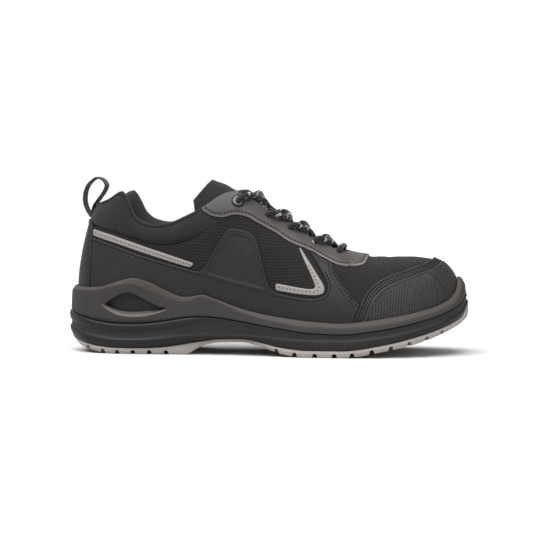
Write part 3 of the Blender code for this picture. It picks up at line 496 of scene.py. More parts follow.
def cut(target, tool):
    """Takes a closed tool's shape out of a target, and the tool away."""
    step = target.modifiers.new("cut", "BOOLEAN")
    step.object = tool
    step.operation = "DIFFERENCE"
    step.solver = "EXACT"
    worked_out(target)
    bpy.data.objects.remove(tool, do_unlink=True)
    return target


def fit(thing, slot, *nodes):
    """Puts a piece on the shoe: it rides on the root and stands for CAD solids, which it hides; the slot is
    not used.
    """
    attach(thing, "root")
    if nodes:
        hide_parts(*nodes)
    print(thing.name, len(thing.data.polygons), "faces")
    return thing


def waves(tree, where, *headings):
    """Sum of plain waves over a UV map; each heading is cycles a millimetre along u and along v."""
    total = None
    for along_u, along_v in headings:
        turn = (2 * math.pi * along_u, 2 * math.pi * along_v, 0.0)
        phase = node(tree, "ShaderNodeVectorMath", {0: where, 1: turn}, operation="DOT_PRODUCT")
        wave = node(tree, "ShaderNodeMath", {0: phase}, operation="COSINE")
        total = wave if total is None else node(tree, "ShaderNodeMath", {0: total, 1: wave})
    return total


def heading(degrees, pitch):
    """Cycles a millimetre along u and v of a wave at an angle, with its crests a pitch apart."""
    turn = math.radians(degrees)
    return math.cos(turn) / pitch, math.sin(turn) / pitch


def mottled(tree, where, scale, detail, dark, light, flat=True):
    """A noise over a UV map, or through the solid, and the tone that it mixes from two shades."""
    size = {"Vector": where, "Scale": scale, "Detail": detail}
    noise = node(tree, "ShaderNodeTexNoise", size, noise_dimensions="2D" if flat else "3D")
    shades = {0: noise, 6: hex_colour(dark), 7: hex_colour(light)}
    return noise, node(tree, "ShaderNodeMix", shades, data_type="RGBA")


def dress(tree, shader, **sockets):
    """Links finished patterns to the shader's sockets."""
    for key, socket in sockets.items():
        tree.links.new(socket, shader.inputs[key.replace("_", " ")])

# %% [markdown]
# ## Cloth of the upper
# The quarter and vamp are a warp-knit spacer mesh: small open cells in staggered rows. The collar and
# tongue are a finer knit with slanting ribs, and the lining is a brushed tricot. All three are black
# polyester, dull, with a soft sheen from loose fibre ends. A mesh of modelled threads would be millions of
# faces, so the cells are waves over the UV map that drive colour and bump.

# %% Cloth materials
# Spacer mesh, warp-knitted: dark open cells 2.3 mm apart in staggered rows between dull threads.
CELL = 2.3
loose_fibre = dict(Specular_IOR_Level=0.15, Sheen_Weight=0.05, Sheen_Roughness=0.5)
mesh_cloth, tree, shader = material("polyester_spacer_mesh_knitted", "#1b1919", 0.85, **loose_fibre)
where = node(tree, "ShaderNodeUVMap", uv_map="run")
spread = CELL * math.sqrt(3) / 2
cells = waves(tree, where, heading(0, spread), heading(60, spread), heading(120, spread))
thread = node(tree, "ShaderNodeMapRange", {"Value": cells, "From Min": 1.6, "From Max": -0.9})
_, tint = mottled(tree, where, 1.1, 3.0, "#191717", "#292626")
tone = node(tree, "ShaderNodeMix", {0: thread, 6: hex_colour("#0b0a0a"), 7: tint}, data_type="RGBA")
bump = node(tree, "ShaderNodeBump", {"Height": thread, "Distance": 0.35 * MM, "Strength": 0.8})
dress(tree, shader, Base_Color=tone, Normal=bump)

# Collar knit, weft-knitted: fine ribs at a slant, 1.5 mm apart, crossed by the stitch rows.
loose_fibre = dict(Specular_IOR_Level=0.15, Sheen_Weight=0.08, Sheen_Roughness=0.5)
collar_cloth, tree, shader = material("polyester_collar_knit", "#262423", 0.88, **loose_fibre)
where = node(tree, "ShaderNodeUVMap", uv_map="run")
ribs = waves(tree, where, heading(62, 1.5), heading(-30, 1.2))
crest = node(tree, "ShaderNodeMapRange", {"Value": ribs, "From Min": -2.0, "From Max": 2.0})
_, tint = mottled(tree, where, 0.9, 3.0, "#232121", "#333130")
tone = node(tree, "ShaderNodeMix", {0: crest, 6: hex_colour("#141313"), 7: tint}, data_type="RGBA")
bump = node(tree, "ShaderNodeBump", {"Height": crest, "Distance": 0.35 * MM, "Strength": 0.8})
dress(tree, shader, Base_Color=tone, Normal=bump)

# Tricot lining, brushed: a flat dark cloth with a short nap and faint wales 1.2 mm apart.
loose_fibre = dict(Specular_IOR_Level=0.1, Sheen_Weight=0.1, Sheen_Roughness=0.6)
lining_cloth, tree, shader = material("polyester_tricot_lining_brushed", "#353232", 0.92, **loose_fibre)
where = node(tree, "ShaderNodeUVMap", uv_map="run")
wales = waves(tree, where, heading(0, 1.2), heading(90, 1.5))
crest = node(tree, "ShaderNodeMapRange", {"Value": wales, "From Min": -2.0, "From Max": 2.0})
_, tone = mottled(tree, where, 0.7, 4.0, "#292727", "#3d3a39")
bump = node(tree, "ShaderNodeBump", {"Height": crest, "Distance": 0.2 * MM, "Strength": 0.6})
dress(tree, shader, Base_Color=tone, Normal=bump)
print("cloth:", mesh_cloth.name, collar_cloth.name, lining_cloth.name)

# %% [markdown]
# ## The upper
# The upper is one hollow shell: an outside, a rolled edge round the collar and throat, and an inside that
# is thicker where the collar is padded. The padding is sewn down in a seam, so the outside dips along it.
# The rows of the grid crowd together at the seam, where the shape turns fastest.

# %% Upper
EDGE_ROLL = 1.3
COLUMNS = 480
SEAM_DEPTH = 1.5
SEAM_WIDTH = 1.2
BINDING = 2.2
BINDING_DEPTH = 1.1
BINDING_WIDTH = 0.6
# Soft troughs where the cloth bends: at the ankle, in front of the heel, and where the vamp flexes.
CREASES = (
    (((40.0, 108.0), (42.0, 100.0), (47.0, 93.0)), 0.9, 3.6),
    (((58.0, 95.0), (63.0, 89.0), (66.0, 84.0)), 0.6, 3.2),
    (((96.0, 101.0), (100.0, 94.0), (102.0, 88.0)), 0.7, 3.6),
    (((229.0, 71.0), (227.0, 60.0), (225.0, 48.0)), 0.5, 3.0),
    (((241.0, 71.0), (240.0, 63.0)), 0.4, 3.0),
)

phi = np.linspace(0.0, 360.0, COLUMNS + 1)
on_ridge = np.abs(phi - 180) <= 180 - angle_of(THROAT_FRONT) + 1e-6
seam = collar_share(phi)
below = 1 - (1 - np.linspace(0, 1, 46)) ** 1.6
above = np.linspace(0, 1, 40)[1:] ** 1.2
shares = np.concatenate([seam * below[:, None], seam + (1 - seam) * above[:, None]])
rib = lengths(outside(phi, shares), 0)
from_seam = rib - rib[len(below) - 1]
dip = SEAM_DEPTH * pad_weight(phi) * np.exp(-(from_seam / SEAM_WIDTH) ** 2)
from_rim = rib[-1] - rib
bound = BINDING_DEPTH * pad_weight(phi) * np.exp(-((from_rim - BINDING) / BINDING_WIDTH) ** 2)
flat = outside(phi, shares)
crease = np.zeros(flat.shape[:2])
for line, depth, width in CREASES:
    for (ax, az), (bx, bz) in zip(line[:-1], line[1:]):
        run_x, run_z = bx - ax, bz - az
        part = ((flat[..., 0] - ax) * run_x + (flat[..., 2] - az) * run_z) / (run_x ** 2 + run_z ** 2)
        part = np.clip(part, 0, 1)
        off = np.hypot(flat[..., 0] - ax - part * run_x, flat[..., 2] - az - part * run_z)
        crease = np.maximum(crease, depth * np.exp(-(off / width) ** 2))
outer = outside(phi, shares, -dip - bound - crease)
back_shares = np.concatenate(
    [seam * np.linspace(0, 0.95, 16)[:, None], seam + (1 - seam) * np.linspace(0, 1, 14)[:, None]]
)
inner = inside(phi, back_shares)


def joined(row):
    """A top row whose two sides meet on the ridge of the vamp."""
    return np.where(on_ridge[:, None], (row + row[::-1]) / 2, row)


outer[-1] = joined(outer[-1])
inner[-1] = joined(inner[-1])
roll = []
for part in np.linspace(0, 1, 8)[1:-1]:
    row = outer[-1] * (1 - part) + inner[-1] * part
    row[:, 2] += EDGE_ROLL * math.sin(math.pi * part) ** 0.6
    roll.append(row)
skin = np.concatenate([outer, roll, inner[::-1], outer[:1]])
top_row = len(outer) - 1
keep = np.ones((len(skin) - 1, COLUMNS), bool)
keep[top_row:top_row + len(roll) + 1, :] = ~(on_ridge[:-1] & on_ridge[1:])
row_of = np.repeat(np.arange(len(skin) - 1)[:, None], COLUMNS, 1)
collared = (pad_weight(phi[:-1]) > 0.02)[None, :]
zone = np.where(row_of < len(below) - 1, 0, np.where(row_of < top_row + 4, np.where(collared, 1, 0), 2))
across = lengths(outer[30:31], 1)[0]
uv = np.stack([np.broadcast_to(across, skin.shape[:2]), lengths(skin, 0) - rib[len(below) - 1]], -1)
upper = make(
    "upper_skin",
    skin,
    grid(*skin.shape[:2], keep),
    [mesh_cloth, collar_cloth, lining_cloth],
    uv,
    zone[keep],
)
print("upper skin", skin.shape)

# %% [markdown]
# ## Lace holes
# Five pairs of holes are punched along the throat. Each hole is found on the last by its place in side
# view, and cut through the upper along the direction that the surface faces there.

# %% Lace holes
EYELET_HOLE = 3.2
PUNCHED_HOLE = 2.5
PLUG_SIDES = 24
# Lace holes of one side, in side view: x and z.
HOLES = (
    (131.6, 113.0), (152.8, 102.4), (168.9, 92.8), (186.8, 82.2), (204.4, 74.8),
)


def on_side(x, z, side):
    """Angle and share on one side where the last's surface shows at x and z in side view."""
    x, z = np.broadcast_arrays(np.asarray(x, float), np.asarray(z, float))
    turn = angle_of(np.clip(x, 2.0, 298.0)).copy()
    share = height_share(np.where(side < 0, turn, 360 - turn), z)
    for _ in range(14):
        at = np.where(side < 0, turn, 360 - turn)
        here = bare(at, share)
        by_turn = (bare(np.where(side < 0, turn + 0.5, 359.5 - turn), share) - here)[..., (0, 2)] / 0.5
        by_share = (bare(at, share + 0.01) - here)[..., (0, 2)] / 0.01
        det = by_turn[..., 0] * by_share[..., 1] - by_turn[..., 1] * by_share[..., 0]
        det = np.where(np.abs(det) < 1e-6, 1e-6, det)
        miss_x, miss_z = x - here[..., 0], z - here[..., 2]
        turn = turn + np.clip((miss_x * by_share[..., 1] - miss_z * by_share[..., 0]) / det, -5, 5)
        share = share + np.clip((by_turn[..., 0] * miss_z - by_turn[..., 1] * miss_x) / det, -0.12, 0.12)
        turn = np.clip(turn, 0.5, 179.5)
        share = np.clip(share, 0.0, 1.0)
    return np.where(side < 0, turn, 360 - turn), share


hole_spots = {}
for side in (-1.0, 1.0):
    turn, share = on_side(*np.array(HOLES).T, side)
    hole_spots[side] = list(zip(bare(turn, share), bare_normal(turn, share), turn))


def plugs(name, depth, height):
    """Round plugs through every lace hole, as one closed tool."""
    points, faces = [], []
    for side, spots in hole_spots.items():
        for k, (at, n, _) in enumerate(spots):
            radius = EYELET_HOLE if k == 0 else PUNCHED_HOLE
            a = np.cross(n, (1.0, 0.0, 0.0))
            a /= np.linalg.norm(a)
            b = np.cross(n, a)
            start = len(points)
            turns = np.linspace(0, 2 * np.pi, PLUG_SIDES + 1)[:-1]
            for h in (-depth, height):
                points += [at + n * h + (a * math.cos(t) + b * math.sin(t)) * radius for t in turns]
            low = [start + i for i in range(PLUG_SIDES)]
            high = [i + PLUG_SIDES for i in low]
            faces += [low[::-1], high]
            faces += [list(f) for f in zip(low, low[1:] + low[:1], high[1:] + high[:1], high)]
    return make(name, points, faces, [])


cut(upper, plugs("upper_plugs", 7.0, 4.0))
fit(upper, "knit_fabric", "upper")

# %% [markdown]
# ## Borders of the overlays
# The overlays are cut from flat material along curves that read best in side view, so their borders are
# drawn there, as x and z along the shoe. One helper fills such an outline and lays it on the last.

# %% Borders of the overlays
# Each border in side view: x and z.
CAP_BORDER = (
    (217.0, 20.0), (220.6, 30.6), (223.8, 39.3), (226.9, 45.8), (231.2, 50.9), (237.5, 55.5), (244.6, 58.7),
    (258.4, 63.4), (268.4, 67.0), (273.0, 69.6), (275.0, 73.0), (275.6, 78.0),
)
EYESTAY_BORDER = (
    (101.0, 111.0), (107.3, 105.6), (113.9, 102.4), (120.0, 101.6), (130.1, 103.6), (138.5, 102.2),
    (147.8, 97.0), (158.9, 90.9), (169.9, 83.8), (184.7, 77.4), (199.4, 69.5), (206.8, 66.5), (215.0, 65.5),
    (222.3, 66.4), (225.4, 69.0), (226.4, 73.0),
)
FOXING_TOP = (
    (20.3, 85.6), (39.8, 80.0), (59.1, 73.1), (82.0, 66.7), (104.0, 61.2), (109.0, 66.0), (123.0, 91.0),
    (128.5, 94.2), (142.0, 90.6), (147.0, 86.0), (155.5, 53.0), (160.0, 46.8), (179.1, 43.0), (191.0, 42.1),
    (197.6, 44.6), (199.8, 49.2), (199.0, 53.6), (195.4, 60.1), (187.0, 73.2),
)
VAMP_SEAM = (
    (202.6, 67.2), (202.9, 63.0), (207.9, 55.6), (215.2, 46.2), (221.4, 39.6),
)
HEEL_STRIP_TOP = (
    (20.3, 91.8), (35.3, 88.3), (58.5, 80.8), (81.4, 73.5), (99.8, 67.6),
)
HEEL_STRIP_LOW = (
    (20.3, 86.9), (35.3, 83.3), (58.5, 75.8), (81.4, 68.8), (97.0, 64.4),
)
CORNER_STRIP_IN = (
    (161.3, 53.7), (179.0, 50.4), (187.5, 49.3), (190.5, 50.4), (189.6, 54.4), (182.7, 67.9), (177.0, 79.4),
)
CORNER_STRIP_OUT = (
    (161.3, 48.6), (171.6, 46.9), (182.7, 45.4), (192.0, 44.9), (196.6, 46.6), (197.4, 50.0), (195.6, 54.0),
    (187.9, 65.1), (178.4, 79.0),
)
BACKSTAY_FRONT = 19.6
BACKSTAY_TOP = 99.0
SHARP = math.radians(50.0)
NIP = 0.7
CORNER_CUTS = 3


def rounded(line, closed=True):
    """A drawn line with its bends eased by cutting corners; sharp corners lose only a nip."""
    line = np.asarray(line, float)
    for _ in range(CORNER_CUTS):
        step = np.roll(line, -1, 0) - line
        size = np.maximum(np.linalg.norm(step, axis=1), 1e-9)
        way = np.arctan2(step[:, 1], step[:, 0])
        bend = np.abs((way - np.roll(way, 1) + np.pi) % (2 * np.pi) - np.pi)
        sharp = bend > SHARP
        leave = np.where(sharp, np.minimum(NIP / size, 0.25), 0.25)
        reach = np.where(np.roll(sharp, -1), np.minimum(NIP / size, 0.25), 0.25)
        pair = np.stack([line + step * leave[:, None], line + step * (1 - reach)[:, None]], 1)
        pair = pair.reshape(-1, 2)
        line = pair if closed else np.concatenate([line[:1], pair[1:-3], line[-1:]])
    return line


def spaced(line, step, closed=True):
    """Points a step apart along a line."""
    line = np.concatenate([line, line[:1]]) if closed else np.asarray(line, float)
    run = lengths(line, 0)
    count = max(2, int(round(run[-1] / step)))
    at = np.linspace(0, run[-1], count + 1)
    at = at[:-1] if closed else at
    return np.stack([np.interp(at, run, line[:, k]) for k in range(line.shape[1])], -1)


def eased(line, step):
    """An open line with its bends eased, as points a step apart."""
    return spaced(rounded(line, closed=False), step, closed=False)


def nearest(points, line):
    """Distance from each point to the nearest point of a line."""
    best = np.full(len(points), 1e9)
    for start in range(0, len(points), 2000):
        part = points[start:start + 2000]
        best[start:start + 2000] = np.sqrt(((part[:, None] - line[None]) ** 2).sum(-1).min(1))
    return best


def grid_nearest(laid, line):
    """Distance from each point of a grid to the nearest point of a line."""
    return nearest(laid.reshape(-1, 3), line).reshape(laid.shape[:2])


def within(points, line):
    """True for points inside a closed line."""
    x, y = points[:, 0][:, None], points[:, 1][:, None]
    ax, ay = line.T
    bx, by = np.roll(line, -1, 0).T
    spans = (ay <= y) != (by <= y)
    crossing = ax + (y - ay) * (bx - ax) / np.where(by == ay, 1e-9, by - ay)
    return (spans & (x < crossing)).sum(1) % 2 == 1


# A cut edge's rounding: distance in from the edge, and the share of the full thickness there.
EDGE_RINGS = ((0.0, 0.25), (0.18, 0.62), (0.45, 0.88), (0.9, 1.0))
# An overlay's underside lies a little inside the cloth, and its sewn rows lie in narrow troughs.
UNDERSIDE = -0.25
TROUGH = 0.55


def edge_body(inset):
    """Share of an overlay's thickness at a distance in from its cut edge."""
    return np.interp(inset, *np.array(EDGE_RINGS).T)


def swell_at(distance, middle, height, width):
    """A smooth ridge across a distance, or a trough where its height is negative."""
    return height * np.exp(-((distance - middle) / width) ** 2)


def panel(name, outline, side, thick, materials, step, shape=None):
    """A cut overlay on one side: filled along its outline, laid on the last, with a rounded edge."""
    line = spaced(rounded(outline), 0.7)
    area = np.sum(line[:, 0] * np.roll(line[:, 1], -1) - np.roll(line[:, 0], -1) * line[:, 1])
    line = line if area > 0 else line[::-1]
    run = np.roll(line, -1, 0) - np.roll(line, 1, 0)
    inward = np.stack([-run[:, 1], run[:, 0]], -1) / np.linalg.norm(run, axis=1, keepdims=True)
    points, inset = [line], [np.zeros(len(line))]
    for depth, _ in EDGE_RINGS[1:]:
        ring = line + inward * depth
        ring = ring[nearest(ring, line) > depth * 0.93]
        points.append(ring)
        inset.append(np.full(len(ring), depth))
    low, high = line.min(0), line.max(0)
    across, up = np.meshgrid(np.arange(low[0], high[0], step), np.arange(low[1], high[1], step * 0.87))
    across[1::2] += step / 2
    field = np.stack([across.ravel(), up.ravel()], -1)
    field = field[within(field, line)]
    away_from = nearest(field, line)
    points.append(field[away_from > 1.5])
    inset.append(away_from[away_from > 1.5])
    points, inset = np.concatenate(points), np.concatenate(inset)
    filled = delaunay_2d_cdt([Vector(p) for p in points], [], [list(range(len(line)))], 1, 1e-5)
    flat = np.array([tuple(v) for v in filled[0]])
    origin = [o[0] if o else 0 for o in filled[3]]
    inset = inset[origin]
    turn, share = on_side(flat[:, 0], flat[:, 1], side)
    height = GAP + thick * edge_body(inset)
    if shape is not None:
        height = height + shape(flat, inset)
    top = outside(turn, share, height)
    order = {o: i for i, o in enumerate(origin) if o < len(line)}
    rim = [order[i] for i in range(len(line)) if i in order]
    foot = outside(turn, share, UNDERSIDE)
    count = len(flat)
    faces = [list(f) for f in filled[2]]
    faces += [[count + i for i in f[::-1]] for f in filled[2]]
    for a, b in zip(rim, rim[1:] + rim[:1]):
        faces.append([b, a, count + a, count + b])
    if side > 0:
        faces = [f[::-1] for f in faces]
    uv = np.concatenate([flat, flat])
    return make(name, np.concatenate([top, foot]), faces, materials, uv)

# %% [markdown]
# ## Side overlays
# The foxing runs from the heel to the vamp and rises to a stitched support under the laces. It is coated
# microfibre: a fine pebbled grain, semi-matt. On the real shoe it is die-cut and sewn over the mesh, so its
# cut edge is square with a small round. Here its outline is filled with triangles in side view and laid on
# the last.

# %% Foxing material
# Coated microfibre, embossed: a fine pebble of about 0.8 mm that breaks the light into a soft grain.
foxing_skin, tree, shader = material("coated_microfibre_embossed", "#1c1a1a", 0.55, Specular_IOR_Level=0.22)
where = node(tree, "ShaderNodeUVMap", uv_map="run")
pebble = node(
    tree,
    "ShaderNodeTexVoronoi",
    {"Vector": where, "Scale": 1.25},
    voronoi_dimensions="2D",
    feature="SMOOTH_F1",
)
cloud, tone = mottled(tree, where, 0.12, 4.0, "#1a1818", "#242222")
gloss = node(tree, "ShaderNodeMapRange", {"Value": cloud, "To Min": 0.48, "To Max": 0.62})
bump = node(tree, "ShaderNodeBump", {"Height": pebble, "Distance": 0.14 * MM, "Strength": 0.6})
dress(tree, shader, Base_Color=tone, Roughness=gloss, Normal=bump)
print("foxing in", foxing_skin.name)

# %% Foxing
OVERLAY = 1.2
HIDDEN = 2.2
FOXING_SEWN = 2.0
SUPPORT = (
    (104.0, 61.2), (109.0, 66.0), (123.0, 91.0), (128.5, 94.2), (142.0, 90.6), (147.0, 86.0), (155.5, 53.0),
    (160.0, 46.8),
)
FOXING_RIDGE = (
    (20.7, 85.4), (59.1, 73.1), (82.0, 66.7), (104.6, 61.0), (119.5, 56.4), (134.5, 52.8), (149.3, 49.3),
    (160.0, 46.8),
)


def cup_floor(x):
    """Height a little above the place where the upper stands in the cup."""
    return smooth(column(BASE_COLUMNS, BASE, "station"), column(BASE_COLUMNS, BASE, "floor"), x) + HIDDEN


support_edge = eased(SUPPORT, 0.5)
ridge_line = eased(FOXING_RIDGE, 0.5)


def foxing_form(flat, inset):
    """The support stands a little lower than the band below it, with a raised and sewn border."""
    over = flat[:, 1] - np.interp(flat[:, 0], ridge_line[:, 0], ridge_line[:, 1])
    on_support = (flat[:, 0] > 101) & (flat[:, 0] < 160) & (over > 0)
    border = nearest(flat, support_edge)
    sunk = np.clip((np.minimum(over - 1.2, border - 3.8) + 0.3) / 0.8, 0, 1)
    step = np.where(on_support, 0.25 - 0.85 * sunk, 0.0)
    channel = swell_at(inset, FOXING_SEWN, -0.4, TROUGH)
    return step + np.where(flat[:, 1] > 40, channel, 0.0)


low_x = np.linspace(216.0, BACKSTAY_FRONT + 0.6, 40)
quarter = (
    list(FOXING_TOP)
    + [(x, z - 0.9) for x, z in EYESTAY_BORDER if 184 < x < 200]
    + list(VAMP_SEAM)
    + [(x - 0.1, z) for x, z in ((223.4, 38.4), *CAP_BORDER[1::-1])]
    + list(zip(low_x, cup_floor(low_x)))
)
for side, word in ((-1.0, "lateral"), (1.0, "medial")):
    made = panel(f"foxing_{word}_skin", quarter, side, OVERLAY, [foxing_skin], 1.0, foxing_form)
    fit(made, "smooth_synthetic", f"foxing_{word}")

# %% [markdown]
# ## Reflective trims
# Two strips of glass-bead reflective tape, one over the heel and one bent round the vamp's corner. The tape
# is pale grey by day. It is perforated with a row of pin holes, which are drawn later, after the stitches,
# as flat discs of painted shade.

# %% Reflective trims
# Glass-bead tape, printed: pale grey, evenly bright, with a fine sparkle of beads drawn at 0.5 mm.
tape, tree, shader = material("reflective_glass_bead_tape", "#777471", 0.45, Specular_IOR_Level=0.4)
where = node(tree, "ShaderNodeUVMap", uv_map="run")
beads, tone = mottled(tree, where, 2.0, 3.0, "#6c6966", "#86837f")
bump = node(tree, "ShaderNodeBump", {"Height": beads, "Distance": 0.05 * MM, "Strength": 0.5})
dress(tree, shader, Base_Color=tone, Normal=bump)
TRIM = 0.5
heel_strip = list(HEEL_STRIP_TOP) + list(HEEL_STRIP_LOW)[::-1]
heel_strip[0] = (BACKSTAY_FRONT + 0.5, 92.0)
heel_strip[-1] = (BACKSTAY_FRONT + 0.5, 87.1)
corner_strip = list(CORNER_STRIP_IN) + list(CORNER_STRIP_OUT)[::-1]
for side, word in ((-1.0, "lateral"), (1.0, "medial")):
    for strip, outline in (("heel_strip", heel_strip), ("corner_strip", corner_strip)):
        made = panel(f"{strip}_{word}_skin", outline, side, TRIM, [tape], 1.2)
        fit(made, "reflective_trim", f"{strip}_{word}")

# %% [markdown]
# ## Eyestay
# The eyestay is a smooth coated synthetic, lighter than the rest, that carries the lace holes and runs
# round the throat. It crosses the middle at the vamp, so it is built in columns that run from its lower
# border up to the throat's edge, each on one section of the last.

# %% Eyestay
# Polyurethane-coated synthetic, smooth: mid grey with painted shade that darkens it towards the collar, low
# gloss, faint crease.
stay_skin, tree, shader = material("polyurethane_synthetic_smooth", "#3f3c3b", 0.5, Specular_IOR_Level=0.35)
where = node(tree, "ShaderNodeUVMap", uv_map="run")
grain = node(
    tree,
    "ShaderNodeTexVoronoi",
    {"Vector": where, "Scale": 1.0},
    voronoi_dimensions="2D",
    feature="SMOOTH_F1",
)
_, tone = mottled(tree, where, 0.1, 4.0, "#3a3736", "#454241")
along_stay, edge = node(tree, "ShaderNodeSeparateXYZ", {0: where}).node.outputs[:2]
# Painted shade: the stay is darkened towards the collar, where it faces up into the light.
deep = node(
    tree, "ShaderNodeMapRange", {"Value": along_stay, "From Min": 62.0, "From Max": 22.0, "To Max": 0.6}
)
tone = node(tree, "ShaderNodeMix", {0: deep, 6: tone, 7: hex_colour("#2a2827")}, data_type="RGBA")
raw = node(tree, "ShaderNodeMapRange", {"Value": edge, "From Min": 0.75, "From Max": 0.5})
tone = node(tree, "ShaderNodeMix", {0: raw, 6: tone, 7: hex_colour("#6d6967")}, data_type="RGBA")
bump = node(tree, "ShaderNodeBump", {"Height": grain, "Distance": 0.08 * MM, "Strength": 0.6})
dress(tree, shader, Base_Color=tone, Normal=bump)


def border_share(turn, border, beyond):
    """Share of the way up each section at which it meets a border drawn in side view."""
    x, z = np.array(border).T

    def over_border(share):
        """True where a share of the section lies above the border."""
        here = bare(turn, share)
        return here[..., 2] > np.where(here[..., 0] > x[-1], beyond, smooth(x, z, here[..., 0]))

    low, high = halved(np.zeros(np.shape(turn)), np.ones(np.shape(turn)), over_border, 26)
    return (low + high) / 2


def skin_block(top, foot, open_top=None):
    """Points and faces of a thin piece from its top and underside; its last row may be left open."""
    rows, columns = top.shape[:2]
    count = rows * columns
    faces = grid(rows, columns)
    faces += [[count + i for i in f[::-1]] for f in grid(rows, columns)]
    index = np.arange(count).reshape(rows, columns)
    edge = np.concatenate([index[0, :], index[1:, -1], index[-1, -2::-1], index[-2:0:-1, 0]])
    for a, b in zip(edge, np.roll(edge, -1)):
        on_top = a >= count - columns and b >= count - columns
        if open_top is None or not (on_top and open_top[a % columns] and open_top[b % columns]):
            faces.append([a, a + count, b + count, b])
    return np.concatenate([top.reshape(-1, 3), foot.reshape(-1, 3)]), faces


STAY_SEWN = 2.2
stay_half = np.arange(angle_of(96.0), angle_of(246.0), 0.3)
starts = border_share(stay_half, EYESTAY_BORDER, 200.0)
stay_half, starts = stay_half[starts < 0.985], starts[starts < 0.985]
ridged = stay_half >= angle_of(THROAT_FRONT) - 1e-6
parts = (0.5 - 0.5 * np.cos(np.pi * np.linspace(0, 1, 30)))[:, None]
shares = starts + (1 - starts) * parts
# The sections fan round the throat's front, so the stay is evened out along itself there.
FAN = 18
fan_weights = np.exp(-(np.arange(-FAN, FAN + 1) / 9.0) ** 2)
fan_weights /= fan_weights.sum()
stay_points, stay_faces, stay_uv = [], [], []
for side in (-1.0, 1.0):
    turn = stay_half if side < 0 else 360 - stay_half
    laid = outside(turn, shares, GAP)
    inset = grid_nearest(laid, spaced(laid[0], 0.4, closed=False))
    from_top = np.where(ridged, 99.0, lengths(laid, 0)[-1] - lengths(laid, 0))
    body = edge_body(np.minimum(inset, from_top))
    channel = swell_at(inset, STAY_SEWN, -0.35, TROUGH)
    stay_sewn = np.array([np.interp(STAY_SEWN, inset[:, j], shares[:, j]) for j in range(len(stay_half))])
    twin = 360 - turn
    top = outside(turn, shares, GAP + OVERLAY * body + channel)
    foot = outside(turn, shares, UNDERSIDE)
    near_front = np.exp(-((np.arange(len(turn)) - np.argmax(ridged)) / 16.0) ** 2)
    blend = (near_front * np.sin(np.pi * parts) ** 0.5)[..., None]
    spread = np.pad(top, ((0, 0), (FAN, FAN), (0, 0)), mode="edge")
    evened = sum(w * spread[:, k:k + len(turn)] for k, w in enumerate(fan_weights))
    top = top * (1 - blend) + (evened + bare_normal(turn, shares) * 0.4) * blend
    for sheet, height in ((top, GAP + OVERLAY), (foot, UNDERSIDE)):
        middle = (outside(turn, 1.0, height) + outside(twin, 1.0, height)) / 2
        sheet[-1] = np.where(ridged[:, None], middle, sheet[-1])
    uv = np.stack([np.broadcast_to(lengths(laid[15:16], 1)[0], laid.shape[:2]), inset], -1)
    order = slice(None) if side < 0 else slice(None, None, -1)
    points, faces = skin_block(top[:, order], foot[:, order], ridged[order])
    start = sum(len(p) for p in stay_points)
    stay_points.append(points)
    stay_faces += [[i + start for i in f] for f in faces]
    stay_uv += [uv[:, order].reshape(-1, 2)] * 2
eyestay = make(
    "eyestay_skin", np.concatenate(stay_points), stay_faces, [stay_skin], np.concatenate(stay_uv)
)
cut(eyestay, plugs("eyestay_plugs", 7.0, 6.0))
fit(eyestay, "eyestay_synthetic", "eyestay")

# %% [markdown]
# ## Toe cap
# A moulded rubber bumper covers the toe. Its rear border carries three sewn rows, then a smooth ridge, and
# then a field of small raised dashes, split by a smooth band. The skin holds the border's steps, and the
# dashes are added later by a node tree that puts one on each point of a staggered lattice.

# %% Toe cap
# Nitrile rubber, moulded: near black with a dull bloom, and painted shade darkening the ground between the
# dashes.
cap_rubber, tree, shader = material("nitrile_rubber_moulded", "#211f1f", 0.55, Specular_IOR_Level=0.3)
where = node(tree, "ShaderNodeUVMap", uv_map="run")
_, tone = mottled(tree, where, 0.15, 4.0, "#1d1b1b", "#282625")
fine = node(
    tree, "ShaderNodeTexNoise", {"Vector": where, "Scale": 2.5, "Detail": 2.0}, noise_dimensions="2D"
)
# Painted shade: the dashes' field, read from the bands map, is darkened where shade falls between them.
ground = node(tree, "ShaderNodeSeparateXYZ", {0: node(tree, "ShaderNodeUVMap", uv_map="bands")})
tone = node(tree, "ShaderNodeMix", {0: ground, 6: tone, 7: hex_colour("#181716")}, data_type="RGBA")
bump = node(tree, "ShaderNodeBump", {"Height": fine, "Distance": 0.06 * MM, "Strength": 0.6})
dress(tree, shader, Base_Color=tone, Normal=bump)
EDGE_WELT = 0.9
SEWN_ROWS = (2.3, 4.2, 6.1)
FIELD_START = 7.8
BAND_MIDDLE = ((268.6, 59.8), (274.8, 55.8), (279.9, 50.5), (280.9, 47.4), (279.7, 39.0))
BAND_HALF = 1.9

cap_turn = np.linspace(angle_of(216.5), 360 - angle_of(216.5), 401)
cap_high = border_share(cap_turn, CAP_BORDER, 200.0)
cap_low = np.minimum(0.1, cap_high * 0.8)
parts = (1 - (1 - np.linspace(0, 1, 110)) ** 1.25)[:, None]
cap_shares = cap_low + (cap_high - cap_low) * parts
laid_cap = outside(cap_turn, cap_shares, GAP)
cap_border = spaced(laid_cap[-1], 0.35, closed=False)
cap_inset = grid_nearest(laid_cap, cap_border)
band_edge = []
for side in (-1.0, 1.0):
    drawn = eased(BAND_MIDDLE, 0.5)
    band_edge.append(outside(*on_side(drawn[:, 0], drawn[:, 1], side), GAP))
cap_band = grid_nearest(laid_cap, np.concatenate(band_edge))


def cap_height(inset, band):
    """Height of the cap's skin above the upper: rounded edge, sewn rows, ridge, field and smooth band."""
    height = OVERLAY * edge_body(inset)
    for row in SEWN_ROWS:
        height = height + swell_at(inset, row, -0.6, 0.5)
    for ridge in (EDGE_WELT, FIELD_START):
        height = height + swell_at(inset, ridge, 0.45, 0.55)
    height = height - 0.25 * np.clip((inset - FIELD_START - 0.6) / 0.6, 0, 1)
    return height + 0.5 * np.clip((BAND_HALF + 0.4 - band) / 0.8, 0, 1) * (inset > FIELD_START)


